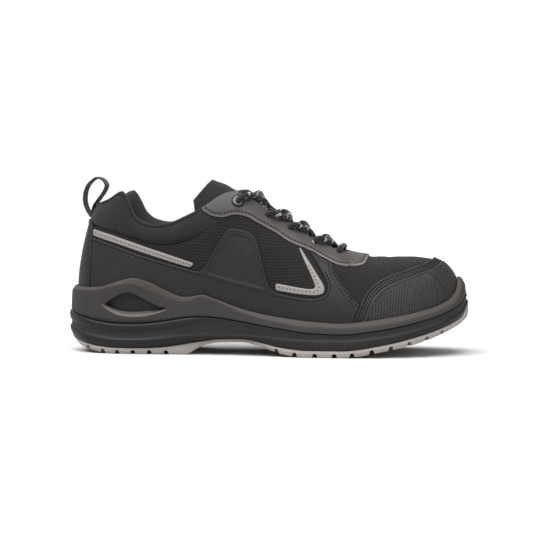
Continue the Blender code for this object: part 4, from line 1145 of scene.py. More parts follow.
top = outside(cap_turn, cap_shares, GAP + cap_height(cap_inset, cap_band))
points, faces = skin_block(top, outside(cap_turn, cap_shares, UNDERSIDE))
cap_uv = np.stack(
    [np.broadcast_to(lengths(laid_cap[40:41], 1)[0], laid_cap.shape[:2]), lengths(laid_cap, 0)], -1
).reshape(-1, 2)
# The field's mask goes in the bands map, where the cap's material paints shade on the ground between the
# dashes.
field = np.clip(np.minimum(cap_inset - FIELD_START - 0.7, cap_band - BAND_HALF - 0.3) / 0.5, 0, 1).ravel()
field = np.stack([np.concatenate([field, field]), np.zeros(2 * len(field))], -1)
toe_cap = make("toe_cap_skin", points, faces, [cap_rubber], np.concatenate([cap_uv, cap_uv]), None, field)
fit(toe_cap, "cap_rubber", "toe_cap")

# %% [markdown]
# ## Backstay
# A narrow overlay that covers the seam up the heel's back, in the same microfibre as the foxing.

# %% Backstay
stay_rows = np.linspace(31.0, BACKSTAY_TOP, 60)


def past_front(turn):
    """True where an angle passes the backstay's front edge."""
    return bare(turn, height_share(turn, stay_rows))[:, 0] > BACKSTAY_FRONT


reach, _ = halved(np.full(60, 0.5), np.full(60, 70.0), past_front, 24)
turn = reach[:, None] * np.linspace(-1, 1, 61)[None, :]
shares = height_share(turn, np.broadcast_to(stay_rows[:, None], turn.shape))
laid = outside(turn, shares, GAP)
edge = np.concatenate([laid[:, 0], laid[:, -1], laid[-1]])
inset = grid_nearest(laid, edge)
height = GAP + OVERLAY * edge_body(inset) + swell_at(inset, FOXING_SEWN, -0.35, TROUGH)
points, faces = skin_block(outside(turn, shares, height), outside(turn, shares, UNDERSIDE))
uv = np.stack([lengths(laid, 1), lengths(laid, 0)], -1).reshape(-1, 2)
backstay = make("backstay_skin", points, faces, [foxing_skin], np.concatenate([uv, uv]))
fit(backstay, "smooth_synthetic", "backstay")

# %% [markdown]
# ## Midsole
# The midsole is polyurethane foam poured into a mould: a cup that rises round the heel and toe, with a top
# facet painted pale as painted light from above, a body that is cross-hatched by the mould, and two
# smoother raised bars with a rib between them. It is a stack of rings round the sole's plan. A second UV
# map counts the bands from the bottom up, so that the material can give each band its own finish, and paint
# the light on the facet.

# %% Midsole material
# Polyurethane foam, moulded: dull dark grey, cut by a 1.1 mm cross-hatch; bars smoother; top facet and rim
# painted paler as painted light from above.
midsole_foam, tree, shader = material("polyurethane_foam_moulded", "#2a2827", 0.62, Specular_IOR_Level=0.3)
where = node(tree, "ShaderNodeUVMap", uv_map="run")
level = node(tree, "ShaderNodeSeparateXYZ", {0: node(tree, "ShaderNodeUVMap", uv_map="bands")})
round_sole = level.node.outputs[0]
level = level.node.outputs[1]
hatch = waves(tree, where, heading(38, 1.1), heading(-38, 1.1))
crest = node(tree, "ShaderNodeMapRange", {"Value": hatch, "From Min": -1.5, "From Max": 1.5})
over_bars = node(tree, "ShaderNodeMapRange", {"Value": level, "From Min": 8.02, "From Max": 8.1})
under_facet = node(tree, "ShaderNodeMapRange", {"Value": level, "From Min": 9.0, "From Max": 8.94})
hatched = node(tree, "ShaderNodeMath", {0: over_bars, 1: under_facet}, operation="MULTIPLY")
# Painted light: the top facet and the rim above it are painted paler, for the light from above.
facet_painted_light = node(tree, "ShaderNodeMapRange", {"Value": level, "From Min": 8.96, "From Max": 9.4})
upper_bar = node(tree, "ShaderNodeMapRange", {"Value": level, "From Min": 4.6, "From Max": 4.9})
upper_bar_end = node(tree, "ShaderNodeMapRange", {"Value": level, "From Min": 6.9, "From Max": 6.6})
lower_bar = node(tree, "ShaderNodeMapRange", {"Value": level, "From Min": 2.7, "From Max": 2.3})
barred = node(tree, "ShaderNodeMath", {0: upper_bar, 1: upper_bar_end}, operation="MULTIPLY")
heelward = node(
    tree,
    "ShaderNodeMapRange",
    {"Value": round_sole, "From Min": 0.42, "From Max": 0.62, "To Min": 1.0, "To Max": 0.0},
)
toeward = node(tree, "ShaderNodeMapRange", {"Value": round_sole, "From Min": 0.62, "From Max": 0.8})
ends = node(tree, "ShaderNodeMath", {0: heelward, 1: toeward}, operation="MAXIMUM")
barred = node(tree, "ShaderNodeMath", {0: barred, 1: heelward}, operation="MULTIPLY")
lower_bar = node(tree, "ShaderNodeMath", {0: lower_bar, 1: ends}, operation="MULTIPLY")
barred = node(tree, "ShaderNodeMath", {0: barred, 1: lower_bar}, operation="MAXIMUM")
_, body = mottled(tree, where, 0.08, 4.0, "#1a1818", "#232120")
cuts = node(tree, "ShaderNodeMath", {0: crest, 1: hatched}, operation="MULTIPLY")
body = node(tree, "ShaderNodeMix", {0: cuts, 6: body, 7: hex_colour("#343130")}, data_type="RGBA")
body = node(tree, "ShaderNodeMix", {0: barred, 6: body, 7: hex_colour("#100f0f")}, data_type="RGBA")
tone = node(tree, "ShaderNodeMix", {0: facet_painted_light, 6: body, 7: hex_colour("#34312f")}, data_type="RGBA")
gloss = node(tree, "ShaderNodeMapRange", {"Value": barred, "To Min": 0.66, "To Max": 0.5})
bump = node(tree, "ShaderNodeBump", {"Height": cuts, "Distance": 0.3 * MM, "Strength": 0.7})
dress(tree, shader, Base_Color=tone, Roughness=gloss, Normal=bump)
# The window's cut faces are the same foam, smooth, painted paler as painted light on the bevel that faces
# up.
window_foam_painted_light, tree, shader = material("polyurethane_foam_smooth_painted_light", "#4a4643", 0.55, Specular_IOR_Level=0.35)
where = node(tree, "ShaderNodeTexCoord")
fine = node(
    tree, "ShaderNodeTexNoise", {"Vector": where.node.outputs["Object"], "Scale": 400.0, "Detail": 3.0}
)
bump = node(tree, "ShaderNodeBump", {"Height": fine, "Distance": 0.05 * MM, "Strength": 0.5})
dress(tree, shader, Normal=bump)
print("midsole in", midsole_foam.name)

# %% Midsole
SOLE_COLUMNS = 480
STEP = 0.45
CUP_GAP = 2.1
LIP = 1.3
TOE_LIP = 2.6
GROOVE_DEPTH = 1.9
# Heights of the lines that run round the sole's side.
LINE_COLUMNS = ("station", "rim", "facet", "groove", "bar", "rib", "seam", "tread")
LINES = (
    (0.0, 49.6, 46.0, 31.2, 25.4, 20.0, 14.8, 13.2),
    (12.0, 49.2, 46.2, 27.4, 21.8, 15.8, 8.4, 4.6),
    (25.0, 50.0, 46.9, 24.7, 19.4, 13.4, 5.9, 1.5),
    (38.0, 54.0, 49.9, 22.9, 17.6, 11.7, 4.8, 0.0),
    (50.0, 56.7, 51.4, 22.5, 17.3, 11.2, 4.6, 0.0),
    (62.0, 54.2, 47.9, 22.9, 17.8, 11.5, 4.7, 0.0),
    (75.0, 49.0, 43.1, 24.3, 19.2, 12.7, 5.5, 0.0),
    (93.0, 43.1, 38.8, 27.3, 21.4, 14.4, 8.0, 0.0),
    (99.0, 43.7, 41.0, 27.9, 23.6, 14.7, 9.2, 3.0),
    (106.0, 44.9, 43.5, 28.1, 26.4, 14.9, 10.3, 6.8),
    (118.0, 41.4, 39.8, 27.4, 26.2, 14.8, 12.1, 9.3),
    (135.0, 35.4, 32.8, 25.2, 24.3, 15.1, 12.5, 9.8),
    (150.0, 31.7, 28.2, 22.7, 21.9, 14.8, 10.2, 7.0),
    (165.0, 29.2, 25.3, 20.4, 19.7, 13.6, 7.0, 2.2),
    (185.0, 26.7, 22.4, 17.7, 17.0, 12.8, 5.3, 0.0),
    (210.0, 25.2, 21.5, 16.7, 16.0, 12.6, 5.3, 0.0),
    (238.0, 28.2, 23.9, 19.9, 19.2, 15.1, 9.0, 4.1),
    (266.0, 33.2, 29.3, 25.7, 25.0, 20.9, 15.6, 10.4),
    (281.0, 37.2, 33.7, 30.3, 29.6, 25.7, 20.5, 15.6),
    (291.0, 42.1, 38.3, 34.7, 34.0, 29.7, 24.8, 20.3),
    (296.5, 48.6, 43.4, 38.3, 37.5, 33.0, 28.6, 23.4),
    (299.0, 55.0, 49.2, 42.6, 41.8, 37.6, 33.4, 25.8),
    (300.0, 57.8, 51.8, 44.8, 43.9, 39.7, 35.6, 26.8),
)

# How far each band of the side stands out of the plan, or in.
BAND_COLUMNS = ("station", "tuck", "upper_bar", "lower_bar", "groove_in", "facet_in")
BANDS = (
    (0.0, 1.2, 1.1, 0.9, 0.0, 0.7),
    (30.0, 2.0, 1.1, 0.9, 0.0, 0.7),
    (75.0, 3.5, 1.0, 0.8, 0.0, 0.8),
    (106.0, 6.0, 0.3, -1.0, 0.0, 0.8),
    (130.0, 6.0, 0.2, -1.2, 0.0, 0.8),
    (165.0, 3.0, 0.2, -0.4, 0.0, 0.8),
    (210.0, 1.8, 0.2, 0.4, 0.0, 0.9),
    (266.0, 1.6, 0.2, 0.5, 0.0, 1.0),
    (291.0, 1.2, 0.2, 0.4, 0.2, 1.4),
    (300.0, 0.6, -1.4, -0.3, 2.0, 4.8),
)


def line_at(name):
    """A height on the sole's side, all round."""
    return along(LINE_COLUMNS, LINES, name, fold(sole_turn)[0])


def band_at(name):
    """How far a band of the sole's side stands out or in, all round."""
    return along(BAND_COLUMNS, BANDS, name, fold(sole_turn)[0])


def wall_row(z, out):
    """Ring of points at heights z, out from the sole's plan."""
    at = plan(sole_turn) + plan_normal(sole_turn) * np.asarray(out, float)[..., None]
    return np.concatenate([at, np.broadcast_to(z, sole_turn.shape)[..., None]], -1)


def filled_rows(rows, steps, rounds=2):
    """Rows of rings with even rows put in between, and the corners between them eased."""
    dense, place_of = [], []
    for i, count in enumerate(steps):
        for part in np.linspace(0, 1, count + 1)[:-1]:
            dense.append(rows[i] * (1 - part) + rows[i + 1] * part)
            place_of.append(i + part)
    dense = np.array(dense + [rows[-1]])
    for _ in range(rounds):
        dense[1:-1] = dense[:-2] * 0.25 + dense[1:-1] * 0.5 + dense[2:] * 0.25
    return dense, np.array(place_of + [len(rows) - 1.0])


def across(row, flip):
    """Faces that close a ring from its outer side to its inner side."""
    faces = []
    last = SOLE_COLUMNS
    for i in range(last // 2):
        face = list(dict.fromkeys([row[i], row[i + 1], row[last - i - 1], row[last - i]]))
        faces.append(face[::-1] if flip else face)
    return faces


sole_turn = np.linspace(0.0, 360.0, SOLE_COLUMNS + 1)
seam, rib, bar, groove, facet, rim = (line_at(n) for n in ("seam", "rib", "bar", "groove", "facet", "rim"))
tuck, low_bar, high_bar = band_at("tuck"), band_at("lower_bar"), band_at("upper_bar")
groove_in, facet_in = band_at("groove_in"), band_at("facet_in")
share = height_share(sole_turn, rim)
cup = outside(sole_turn, share, CUP_GAP)
cup[:, 2] = rim
lip = cup.copy()
toe_share = np.clip((station_at(fold(sole_turn)[0]) - 288.0) / 10.0, 0, 1)
lip[:, :2] += plan_normal(sole_turn) * (LIP + TOE_LIP * toe_share)[:, None]
lip[:, 2] -= 0.25 + 0.6 * toe_share
facet_in = facet_in - 1.9 * toe_share
foot = plan(sole_turn) - plan_normal(sole_turn) * (
    along(BASE_COLUMNS, BASE, "inset", fold(sole_turn)[0]) - CUP_GAP
)[:, None]
rows = [
    wall_row(seam, -tuck),
    wall_row(seam + 0.4 * (rib - seam), low_bar - 0.25 * tuck),
    wall_row(rib - STEP, low_bar),
    wall_row(rib + STEP, np.minimum(low_bar - 0.9, -0.35) - groove_in * 0.3),
    wall_row(bar - STEP, -0.35 - groove_in * 0.8),
    wall_row(bar + STEP * 0.4, high_bar),
    wall_row(groove - STEP * 0.7, high_bar),
    wall_row(groove + STEP * 0.4, -GROOVE_DEPTH - groove_in),
    wall_row(groove + STEP * 1.6, -groove_in),
    wall_row(facet, -facet_in),
    lip,
    cup,
    outside(sole_turn, share * 0.66, CUP_GAP),
    outside(sole_turn, share * 0.3, CUP_GAP),
    np.concatenate([foot, along(BASE_COLUMNS, BASE, "floor", fold(sole_turn)[0])[:, None]], -1),
]
skin, bands = filled_rows(np.array(rows), (4, 5, 2, 6, 2, 6, 3, 3, 18, 7, 3, 5, 5, 4))
around = lengths(skin[20:21], 1)[0]
uv = np.stack([np.broadcast_to(around, skin.shape[:2]), skin[..., 2]], -1)
band_uv = np.stack(
    [
        np.broadcast_to(fold(sole_turn)[0] / 180, skin.shape[:2]),
        np.broadcast_to(bands[:, None], skin.shape[:2]),
    ],
    -1,
)
faces = grid(*skin.shape[:2])
last_row = (len(skin) - 1) * (SOLE_COLUMNS + 1)
ring = list(range(SOLE_COLUMNS + 1))
faces += across(ring, True)
faces += across([last_row + i for i in ring], False)
midsole = make("midsole_skin", skin, faces, [midsole_foam, window_foam_painted_light], uv, None, band_uv)

# %% [markdown]
# ## Heel window
# An eye-shaped opening in the heel wall shows the foxing behind it, and its lower edge is bevelled outward.
# It is cut with a tapered plug on each side, narrow inside and wider at the wall's face.

# %% Heel window
# The edge of the eye-shaped window in the heel wall, seen from the side.
WINDOW_COLUMNS = ("x", "top", "low")
WINDOW = (
    (32.5, 37.0, 36.6),
    (36.6, 40.0, 34.6),
    (40.4, 42.3, 33.2),
    (45.0, 44.5, 32.0),
    (50.5, 45.5, 31.4),
    (56.0, 44.1, 31.4),
    (62.0, 41.2, 31.9),
    (68.0, 38.3, 32.7),
    (75.5, 34.9, 34.3),
)
BEVEL_SPREAD = 1.45
BEVEL_DROP = 6.4
PLUG_DEPTHS = (27.0, 33.5, 42.0)
x = np.linspace(WINDOW[0][0], WINDOW[-1][0], 34)
top_edge = smooth(column(WINDOW_COLUMNS, WINDOW, "x"), column(WINDOW_COLUMNS, WINDOW, "top"), x)
low_edge = smooth(column(WINDOW_COLUMNS, WINDOW, "x"), column(WINDOW_COLUMNS, WINDOW, "low"), x)
edge = np.concatenate([np.stack([x, low_edge], -1), np.stack([x, top_edge], -1)[::-1]])
part = np.linspace(0, 1, len(x))
tail = x.mean() + (x - x.mean()) * BEVEL_SPREAD
wide_low = np.stack([tail, low_edge - BEVEL_DROP * np.sin(np.pi * part) ** 0.7], -1)
wide_top = np.stack([x, top_edge + 0.4], -1)
wide_top[0] = wide_low[0] + (0.0, 0.3)
wide_top[-1] = wide_low[-1] + (0.0, 0.3)
wide = np.concatenate([wide_low, wide_top[::-1]])
points, faces = [], []
count = len(edge)
for side in (-1.0, 1.0):
    start = len(points)
    for depth, loop in zip(PLUG_DEPTHS, (edge, edge, wide)):
        points += [(px, side * depth, pz) for px, pz in loop]
    wall = [
        [start + k * count + i, start + k * count + (i + 1) % count] for k in (0, 1) for i in range(count)
    ]
    tool_faces = [[b, a, a + count, b + count] for a, b in wall]
    tool_faces.append(list(range(start, start + count)))
    tool_faces.append(list(range(start + 3 * count - 1, start + 2 * count - 1, -1)))
    faces += [f if side > 0 else f[::-1] for f in tool_faces]
# The window's cut faces take the paler foam, whose colour is painted light.
tool = make("window_plug", points, faces, [midsole_foam, window_foam_painted_light], None, np.ones(len(faces)))
cut(midsole, face_out(tool))
fit(midsole, "midsole_foam", "midsole")

# %% [markdown]
# ## Outsole
# The tread is a pale grey rubber plate under the foam, with slots between its lugs along both edges and
# down the middle. Its side shows as a low band with a notch at each slot. The plate is a stack of rings,
# and the slots are cut with boxes that stand across the edge and widen towards the floor.

# %% Outsole
# Nitrile tread rubber, moulded: warm pale grey, matt, faintly mottled.
tread_rubber, tree, shader = material("tread_rubber_moulded", "#8a8480", 0.72, Specular_IOR_Level=0.35)
where = node(tree, "ShaderNodeTexCoord").node.outputs["Object"]
_, tone = mottled(tree, where, 60.0, 4.0, "#857f7b", "#9a9490", flat=False)
fine = node(tree, "ShaderNodeTexNoise", {"Vector": where, "Scale": 1200.0, "Detail": 2.0})
bump = node(tree, "ShaderNodeBump", {"Height": fine, "Distance": 0.06 * MM, "Strength": 0.6})
dress(tree, shader, Base_Color=tone, Normal=bump)
LUG_DEPTH = 3.0
LUG_REACH = 24.0
UNDER_FLOOR = 4.0
SLOT_FOOT = 6.4
SLOT_HEAD = 2.4
MIDDLE_WAY = math.radians(125.0)
# Slots between the lugs, by station, and the middle lugs' slots.
HEEL_SLOTS = (17.7, 30.0, 41.5, 53.6, 66.0, 78.5)
FRONT_SLOTS = (161.5, 175.5, 191.0, 205.4, 218.4, 233.0, 247.0, 260.0, 272.5, 283.0)
MIDDLE_SLOTS = (47.0, 60.0, 72.0, 169.0, 183.5, 198.5, 212.0, 226.0, 240.0, 254.0)
seam, tread = line_at("seam"), line_at("tread")
rows = [
    wall_row(seam - GAP, -tuck),
    wall_row(seam - GAP - 0.35 * (seam - tread), 0.5 - tuck),
    wall_row(tread + 0.5, -tuck - 0.5),
    wall_row(tread, -tuck - 1.0),
]
skin, _ = filled_rows(np.array(rows)[::-1], (2, 6, 4), 1)
skin[..., 2] = np.maximum(skin[..., 2], tread)
faces = grid(*skin.shape[:2])
last_row = (len(skin) - 1) * (SOLE_COLUMNS + 1)
faces += across(ring, True)
faces += across([last_row + i for i in ring], False)
outsole = make("outsole_skin", skin, faces, [tread_rubber])
points, faces = [], []
BOX = ((0, 1, 3, 2), (4, 6, 7, 5), (0, 4, 5, 1), (2, 3, 7, 6), (0, 2, 6, 4), (1, 5, 7, 3))


def slot_box(at, into, start, end):
    """A box across the tread, from under the floor up into the lugs, wider at its foot."""
    base = len(points)
    side_way = np.array([-into[1], into[0]])
    ground = smooth(column(LINE_COLUMNS, LINES, "station"), column(LINE_COLUMNS, LINES, "tread"), at[0])
    for z, width in ((ground - UNDER_FLOOR, SLOT_FOOT), (ground + LUG_DEPTH, SLOT_HEAD)):
        for reach in (start, end):
            for half in (-width / 2, width / 2):
                points.append((*(at + into * reach + side_way * half), z))
    faces.extend([[base + k for k in f] for f in BOX])


for station in HEEL_SLOTS + FRONT_SLOTS:
    for turn in (angle_of(station), 360 - angle_of(station)):
        slot_box(plan(turn), -plan_normal(turn), -4.0, LUG_REACH)
for station in MIDDLE_SLOTS:
    for side in (-1.0, 1.0):
        into = np.array([math.cos(MIDDLE_WAY), side * math.sin(MIDDLE_WAY)])
        slot_box(np.array([station + 4.0, float(ridge_y(station))]), into, 2.4, 13.0)
tool = make("slot_boxes", points, faces, [])
cut(outsole, face_out(tool))
outsole.data.set_sharp_from_angle(angle=math.radians(40))
fit(outsole, "sole_rubber", "outsole")

# %% [markdown]
# ## Footbed
# Inside lies a removable footbed of soft foam under a dark cloth, cupped a little towards its edges.

# %% Footbed
# Open-cell foam under woven cloth, pressed: charcoal with a fine weave of 1.4 mm.
footbed_cloth, tree, shader = material(
    "polyester_footbed_cloth_pressed", "#3a3938", 0.9, Specular_IOR_Level=0.2
)
where = node(tree, "ShaderNodeUVMap", uv_map="run")
weave = waves(tree, where, heading(45, 1.4), heading(-45, 1.4))
crest = node(tree, "ShaderNodeMapRange", {"Value": weave, "From Min": -2.0, "From Max": 2.0})
tone = node(
    tree, "ShaderNodeMix", {0: crest, 6: hex_colour("#262525"), 7: hex_colour("#434141")}, data_type="RGBA"
)
bump = node(tree, "ShaderNodeBump", {"Height": crest, "Distance": 0.15 * MM, "Strength": 0.6})
dress(tree, shader, Base_Color=tone, Normal=bump)
INSOLE_THICK = 4.0
side_turn = np.linspace(0.6, 179.4, 121)
floor_z = along(BASE_COLUMNS, BASE, "floor", side_turn)
inset = along(BASE_COLUMNS, BASE, "inset", side_turn) + WALL + 0.5
edges = [plan(t) - plan_normal(t) * inset[:, None] for t in (side_turn, 360 - side_turn)]
parts = np.linspace(0, 1, 25)[:, None, None]
flat = edges[0][None] * (1 - parts) + edges[1][None] * parts
dish = 1.2 * (1 - np.sin(np.pi * parts[..., 0])) ** 2
top = np.concatenate([flat, (floor_z + GAP + INSOLE_THICK - 0.4 + dish)[..., None]], -1)
under = np.concatenate([flat, np.broadcast_to(floor_z + GAP, flat.shape[:2])[..., None]], -1)
points, faces = skin_block(top[:, ::-1], under[:, ::-1])
insole = make(
    "insole_skin",
    points,
    [f[::-1] for f in faces],
    [footbed_cloth],
    np.concatenate([top[:, ::-1].reshape(-1, 3), under[:, ::-1].reshape(-1, 3)])[:, :2],
)
fit(insole, "footbed_foam", "insole")

# %% [markdown]
# ## Tongue
# The tongue is a padded knit flap, sewn down under the vamp, that arches under the laces and wraps back
# round the ankle at its top. Its foam makes it swell between its bound edges. The arches come from its
# table, filled in with a smooth curve, and the free end is rounded off.

# %% Tongue
# From its sewn end to its free top: x, z, half width, drop of its sides, thickness and sweep back.
TONGUE = (
    (226.0, 67.6, 10.0, 3.0, 3.0, 0.0),
    (213.0, 69.8, 15.0, 5.5, 3.5, 0.0),
    (200.0, 74.4, 19.5, 7.5, 4.0, 0.0),
    (188.0, 80.3, 22.5, 9.0, 4.5, 0.0),
    (173.0, 88.8, 24.5, 11.5, 5.0, 0.0),
    (158.0, 98.8, 25.5, 13.5, 5.5, 0.0),
    (144.0, 109.4, 25.5, 15.0, 6.0, 1.0),
    (133.0, 116.6, 24.0, 18.0, 6.8, 5.0),
    (123.0, 122.2, 21.5, 24.0, 7.2, 9.0),
    (115.6, 126.9, 20.0, 27.0, 7.2, 6.5),
    (109.6, 131.3, 19.0, 27.5, 5.4, 2.5),
)
TONGUE_ROWS = 84
STRAIGHT_FROM = 62
CORNER_FROM = 58
FOLD_FROM_TOP = 15.0
rows = np.array(TONGUE, float)
run = lengths(rows[:, :2], 0)
at = np.linspace(0, run[-1], TONGUE_ROWS)
dense = np.stack([smooth(run, rows[:, k], at) for k in range(6)], -1)
ways = np.gradient(dense[:, :2], axis=0)
ways /= np.linalg.norm(ways, axis=1, keepdims=True)
rise = np.stack([ways[:, 1], -ways[:, 0]], -1)
rise[STRAIGHT_FROM:] = rise[STRAIGHT_FROM]
full_arch = np.radians(np.linspace(-88, 88, 45))
corner = 1 - 0.19 * np.clip((np.arange(TONGUE_ROWS) - CORNER_FROM) / 25.0, 0, 1) ** 1.5
closing = np.concatenate([np.ones(TONGUE_ROWS - 8), np.cos(np.linspace(0, np.pi / 2, 9))[1:]])
fold_at = run[-1] - FOLD_FROM_TOP
rings = []
for (x, z, half, drop, thick, sweep), up, full, spread in zip(dense, rise, closing, corner):
    arch = full_arch * spread
    bend = 1 - np.cos(arch)
    fold_row = 0.9 * np.exp(-((at[len(rings)] - fold_at) / 3.0) ** 2) * np.sin(arch) ** 4
    middle = float(ridge_y(x))
    swell = 0.5 * thick * (1 - full)
    puff = 0.35 * np.cos(arch * 3.0) * full
    ring_rows = []
    for fall, width in (
        (swell + drop * bend - puff + fold_row, half),
        (thick - swell + (drop - 0.3 * thick) * bend, half - 0.6 * thick),
    ):
        back = x - sweep * bend
        ring_rows.append(
            np.stack([back - up[0] * fall, middle + width * np.sin(arch), z - up[1] * fall], -1)
        )
    outer_arc, inner_arc = ring_rows
    ends = [
        (outer_arc[k] + inner_arc[k]) / 2 + (outer_arc[k] - outer_arc[n]) * 0.35
        for k, n in ((-1, -2), (0, 1))
    ]
    rings.append(np.concatenate([outer_arc, ends[:1], inner_arc[::-1], ends[1:], outer_arc[:1]]))
rings = np.array(rings)
uv = np.stack([lengths(rings, 1), np.broadcast_to(at[:, None], rings.shape[:2])], -1)
faces = grid(*rings.shape[:2])
count = rings.shape[1]
last = len(full_arch) * 2 + 1
for base, flip in ((0, False), ((len(rings) - 1) * count, True)):
    for i in range(len(full_arch) - 1):
        face = [base + i, base + i + 1, base + last - i - 2, base + last - i - 1]
        faces.append(face if flip else face[::-1])
    half_way = base + len(full_arch)
    for face in ([half_way - 1, half_way, half_way + 1], [base + last - 1, base + last, base]):
        faces.append(face if flip else face[::-1])
tongue = make("tongue_skin", rings, faces, [collar_cloth, lining_cloth], uv)
fit(face_out(tongue), "knit_fabric", "tongue")

# %% [markdown]
# ## Pull loop
# A loop of flat webbing stands over the heel so that a finger can pull the shoe on. It is one band bent
# into a closed drop shape, with soft edges.

# %% Pull loop
# Polyester webbing, plain-woven: black, dull, with picks 1.1 mm apart.
webbing, tree, shader = material(
    "polyester_webbing_woven", "#232222", 0.85, Specular_IOR_Level=0.25, Sheen_Weight=0.1
)
where = node(tree, "ShaderNodeUVMap", uv_map="run")
picks = waves(tree, where, heading(0, 1.1), heading(90, 1.3))
crest = node(tree, "ShaderNodeMapRange", {"Value": picks, "From Min": -2.0, "From Max": 2.0})
tone = node(
    tree, "ShaderNodeMix", {0: crest, 6: hex_colour("#121111"), 7: hex_colour("#343232")}, data_type="RGBA"
)
bump = node(tree, "ShaderNodeBump", {"Height": crest, "Distance": 0.25 * MM, "Strength": 0.8})
dress(tree, shader, Base_Color=tone, Normal=bump)
LOOP_WIDTH = 13.5
LOOP_THICK = 1.3
# The loop's closed path in side view, x and z: up the outer strand and back down the inner one.
LOOP = (
    (16.0, 100.2), (13.4, 104.0), (11.2, 108.2), (10.0, 113.5), (10.8, 120.5), (14.0, 126.6), (19.6, 130.6),
    (25.0, 129.0), (27.4, 124.6), (25.4, 119.6), (21.2, 114.2), (17.4, 109.0), (16.6, 104.4),
)
drawn = spaced(rounded(LOOP), 0.8)
ways = np.roll(drawn, -1, 0) - np.roll(drawn, 1, 0)
ways /= np.linalg.norm(ways, axis=1, keepdims=True)
out = np.stack([-ways[:, 1], ways[:, 0]], -1)
section = []
for turn in np.linspace(0, 2 * np.pi, 33)[:-1]:
    c, s = math.cos(turn), math.sin(turn)
    wide = LOOP_WIDTH / 2 * math.copysign(abs(c) ** 0.22, c)
    section.append((wide, LOOP_THICK / 2 * math.copysign(abs(s) ** 0.5, s)))
section = np.array(section + section[:1])
rings = np.empty((len(drawn) + 1, len(section), 3))
for i in range(len(drawn) + 1):
    p, n = drawn[i % len(drawn)], out[i % len(drawn)]
    rings[i, :, 0] = p[0] + n[0] * section[:, 1]
    rings[i, :, 1] = section[:, 0]
    rings[i, :, 2] = p[1] + n[1] * section[:, 1]
uv = np.stack(
    [np.broadcast_to(section[:, 0], rings.shape[:2]), lengths(rings, 0)[:, :1] + np.zeros(rings.shape[:2])],
    -1,
)
pull_loop = make("pull_loop_skin", rings, grid(*rings.shape[:2]), [webbing], uv)
fit(face_out(pull_loop), "webbing", "pull_loop")

# %% [markdown]
# ## Top eyelets
# The top pair of holes has pressed metal eyelets: a dark lacquered flange with a bright rolled lip round
# the bore. An eyelet is turned, so a half profile is spun round the hole's own axis.

# %% Top eyelets
# Brass, black-lacquered: dark with a soft gloss. The rolled lip is bare nickel, where the tool polished it.
black_brass, *black = material("brass_black_lacquered", "#0d0c0c", 0.45, Specular_IOR_Level=0.3)
bright_lip, *bright = material("nickel_rolled_polished", "#7d7b78", 0.35, Metallic=1.0)
for (tree, shader), least, most in ((black, 0.4, 0.55), (bright, 0.22, 0.38)):
    where = node(tree, "ShaderNodeTexCoord").node.outputs["Object"]
    fine = node(tree, "ShaderNodeTexNoise", {"Vector": where, "Scale": 900.0, "Detail": 3.0})
    gloss = node(tree, "ShaderNodeMapRange", {"Value": fine, "To Min": least, "To Max": most})
    dress(tree, shader, Roughness=gloss)
SEAT = GAP + OVERLAY + 0.05
PROFILE = (
    (2.3, -2.6), (2.75, -2.6), (2.75, SEAT - 0.2), (4.75, SEAT), (4.85, SEAT + 0.25), (4.6, SEAT + 0.6),
    (4.1, SEAT + 0.8), (3.6, SEAT + 0.85), (3.4, SEAT + 0.8), (3.3, SEAT + 1.0), (3.0, SEAT + 1.15),
    (2.6, SEAT + 1.05), (2.35, SEAT + 0.75), (2.3, SEAT + 0.3),
)
LIP_FROM = 9
EYELET_SIDES = 48
for side, word in ((-1.0, "lateral"), (1.0, "medial")):
    at, n, _ = hole_spots[side][0]
    a = np.cross(n, (1.0, 0.0, 0.0))
    a /= np.linalg.norm(a)
    b = np.cross(n, a)
    turns = np.linspace(0, 2 * np.pi, EYELET_SIDES + 1)
    radius, height = np.array(PROFILE + PROFILE[:1]).T
    ray = a * np.cos(turns)[:, None] + b * np.sin(turns)[:, None]
    rings = at + ray[None] * radius[:, None, None] + n * height[:, None, None]
    zone = np.repeat((np.arange(len(PROFILE)) >= LIP_FROM).astype(int), EYELET_SIDES)
    eyelet = make(
        f"eyelet_{word}_skin", rings, grid(*rings.shape[:2]), [black_brass, bright_lip], None, zone
    )
    fit(face_out(eyelet), "eyelet_metal", f"eyelet_{word}")

# %% [markdown]
# ## Lace
# One round braided cord runs down through five pairs of holes. From each hole it comes out on top, crosses
# the tongue towards the toe and dives under the far edge to the next hole; at the front pair it lies
# straight across. The two ends stop inside the top eyelets. The path is a few places a strand, joined by a
# smooth curve, and the cord is a tube along it.

# %% Lace
# Polyester cord, braided round: black with pale tracer yarns that show as flecks.
LACE = 4.2
LACE_SIDES = 14
PLAITS = 6
around_lace = math.pi * LACE
braid, tree, shader = material(
    "polyester_cord_braided", "#242323", 0.85, Specular_IOR_Level=0.25, Sheen_Weight=0.1
)
where = node(tree, "ShaderNodeUVMap", uv_map="run")
turns_mm = PLAITS / around_lace
strands = waves(tree, where, (0.32, turns_mm), (0.32, -turns_mm))
crest = node(tree, "ShaderNodeMapRange", {"Value": strands, "From Min": -1.2, "From Max": 2.0})
spiral = node(
    tree, "ShaderNodeVectorMath", {0: where, 1: (1 / 11.0, 1 / around_lace, 0.0)}, operation="DOT_PRODUCT"
)
lane = node(tree, "ShaderNodeMath", {0: spiral}, operation="FRACT")
pair = node(tree, "ShaderNodeMath", {0: lane, 1: 0.5, 2: 0.1}, operation="COMPARE")
between = node(tree, "ShaderNodeMath", {0: lane, 1: 0.5, 2: 0.028}, operation="COMPARE")
pair = node(tree, "ShaderNodeMath", {0: pair, 1: between}, operation="SUBTRACT")
shown = node(
    tree, "ShaderNodeMath", {0: waves(tree, where, (1 / 5.5, 0.0)), 1: -0.35}, operation="GREATER_THAN"
)
fleck = node(tree, "ShaderNodeMath", {0: pair, 1: shown}, operation="MULTIPLY")
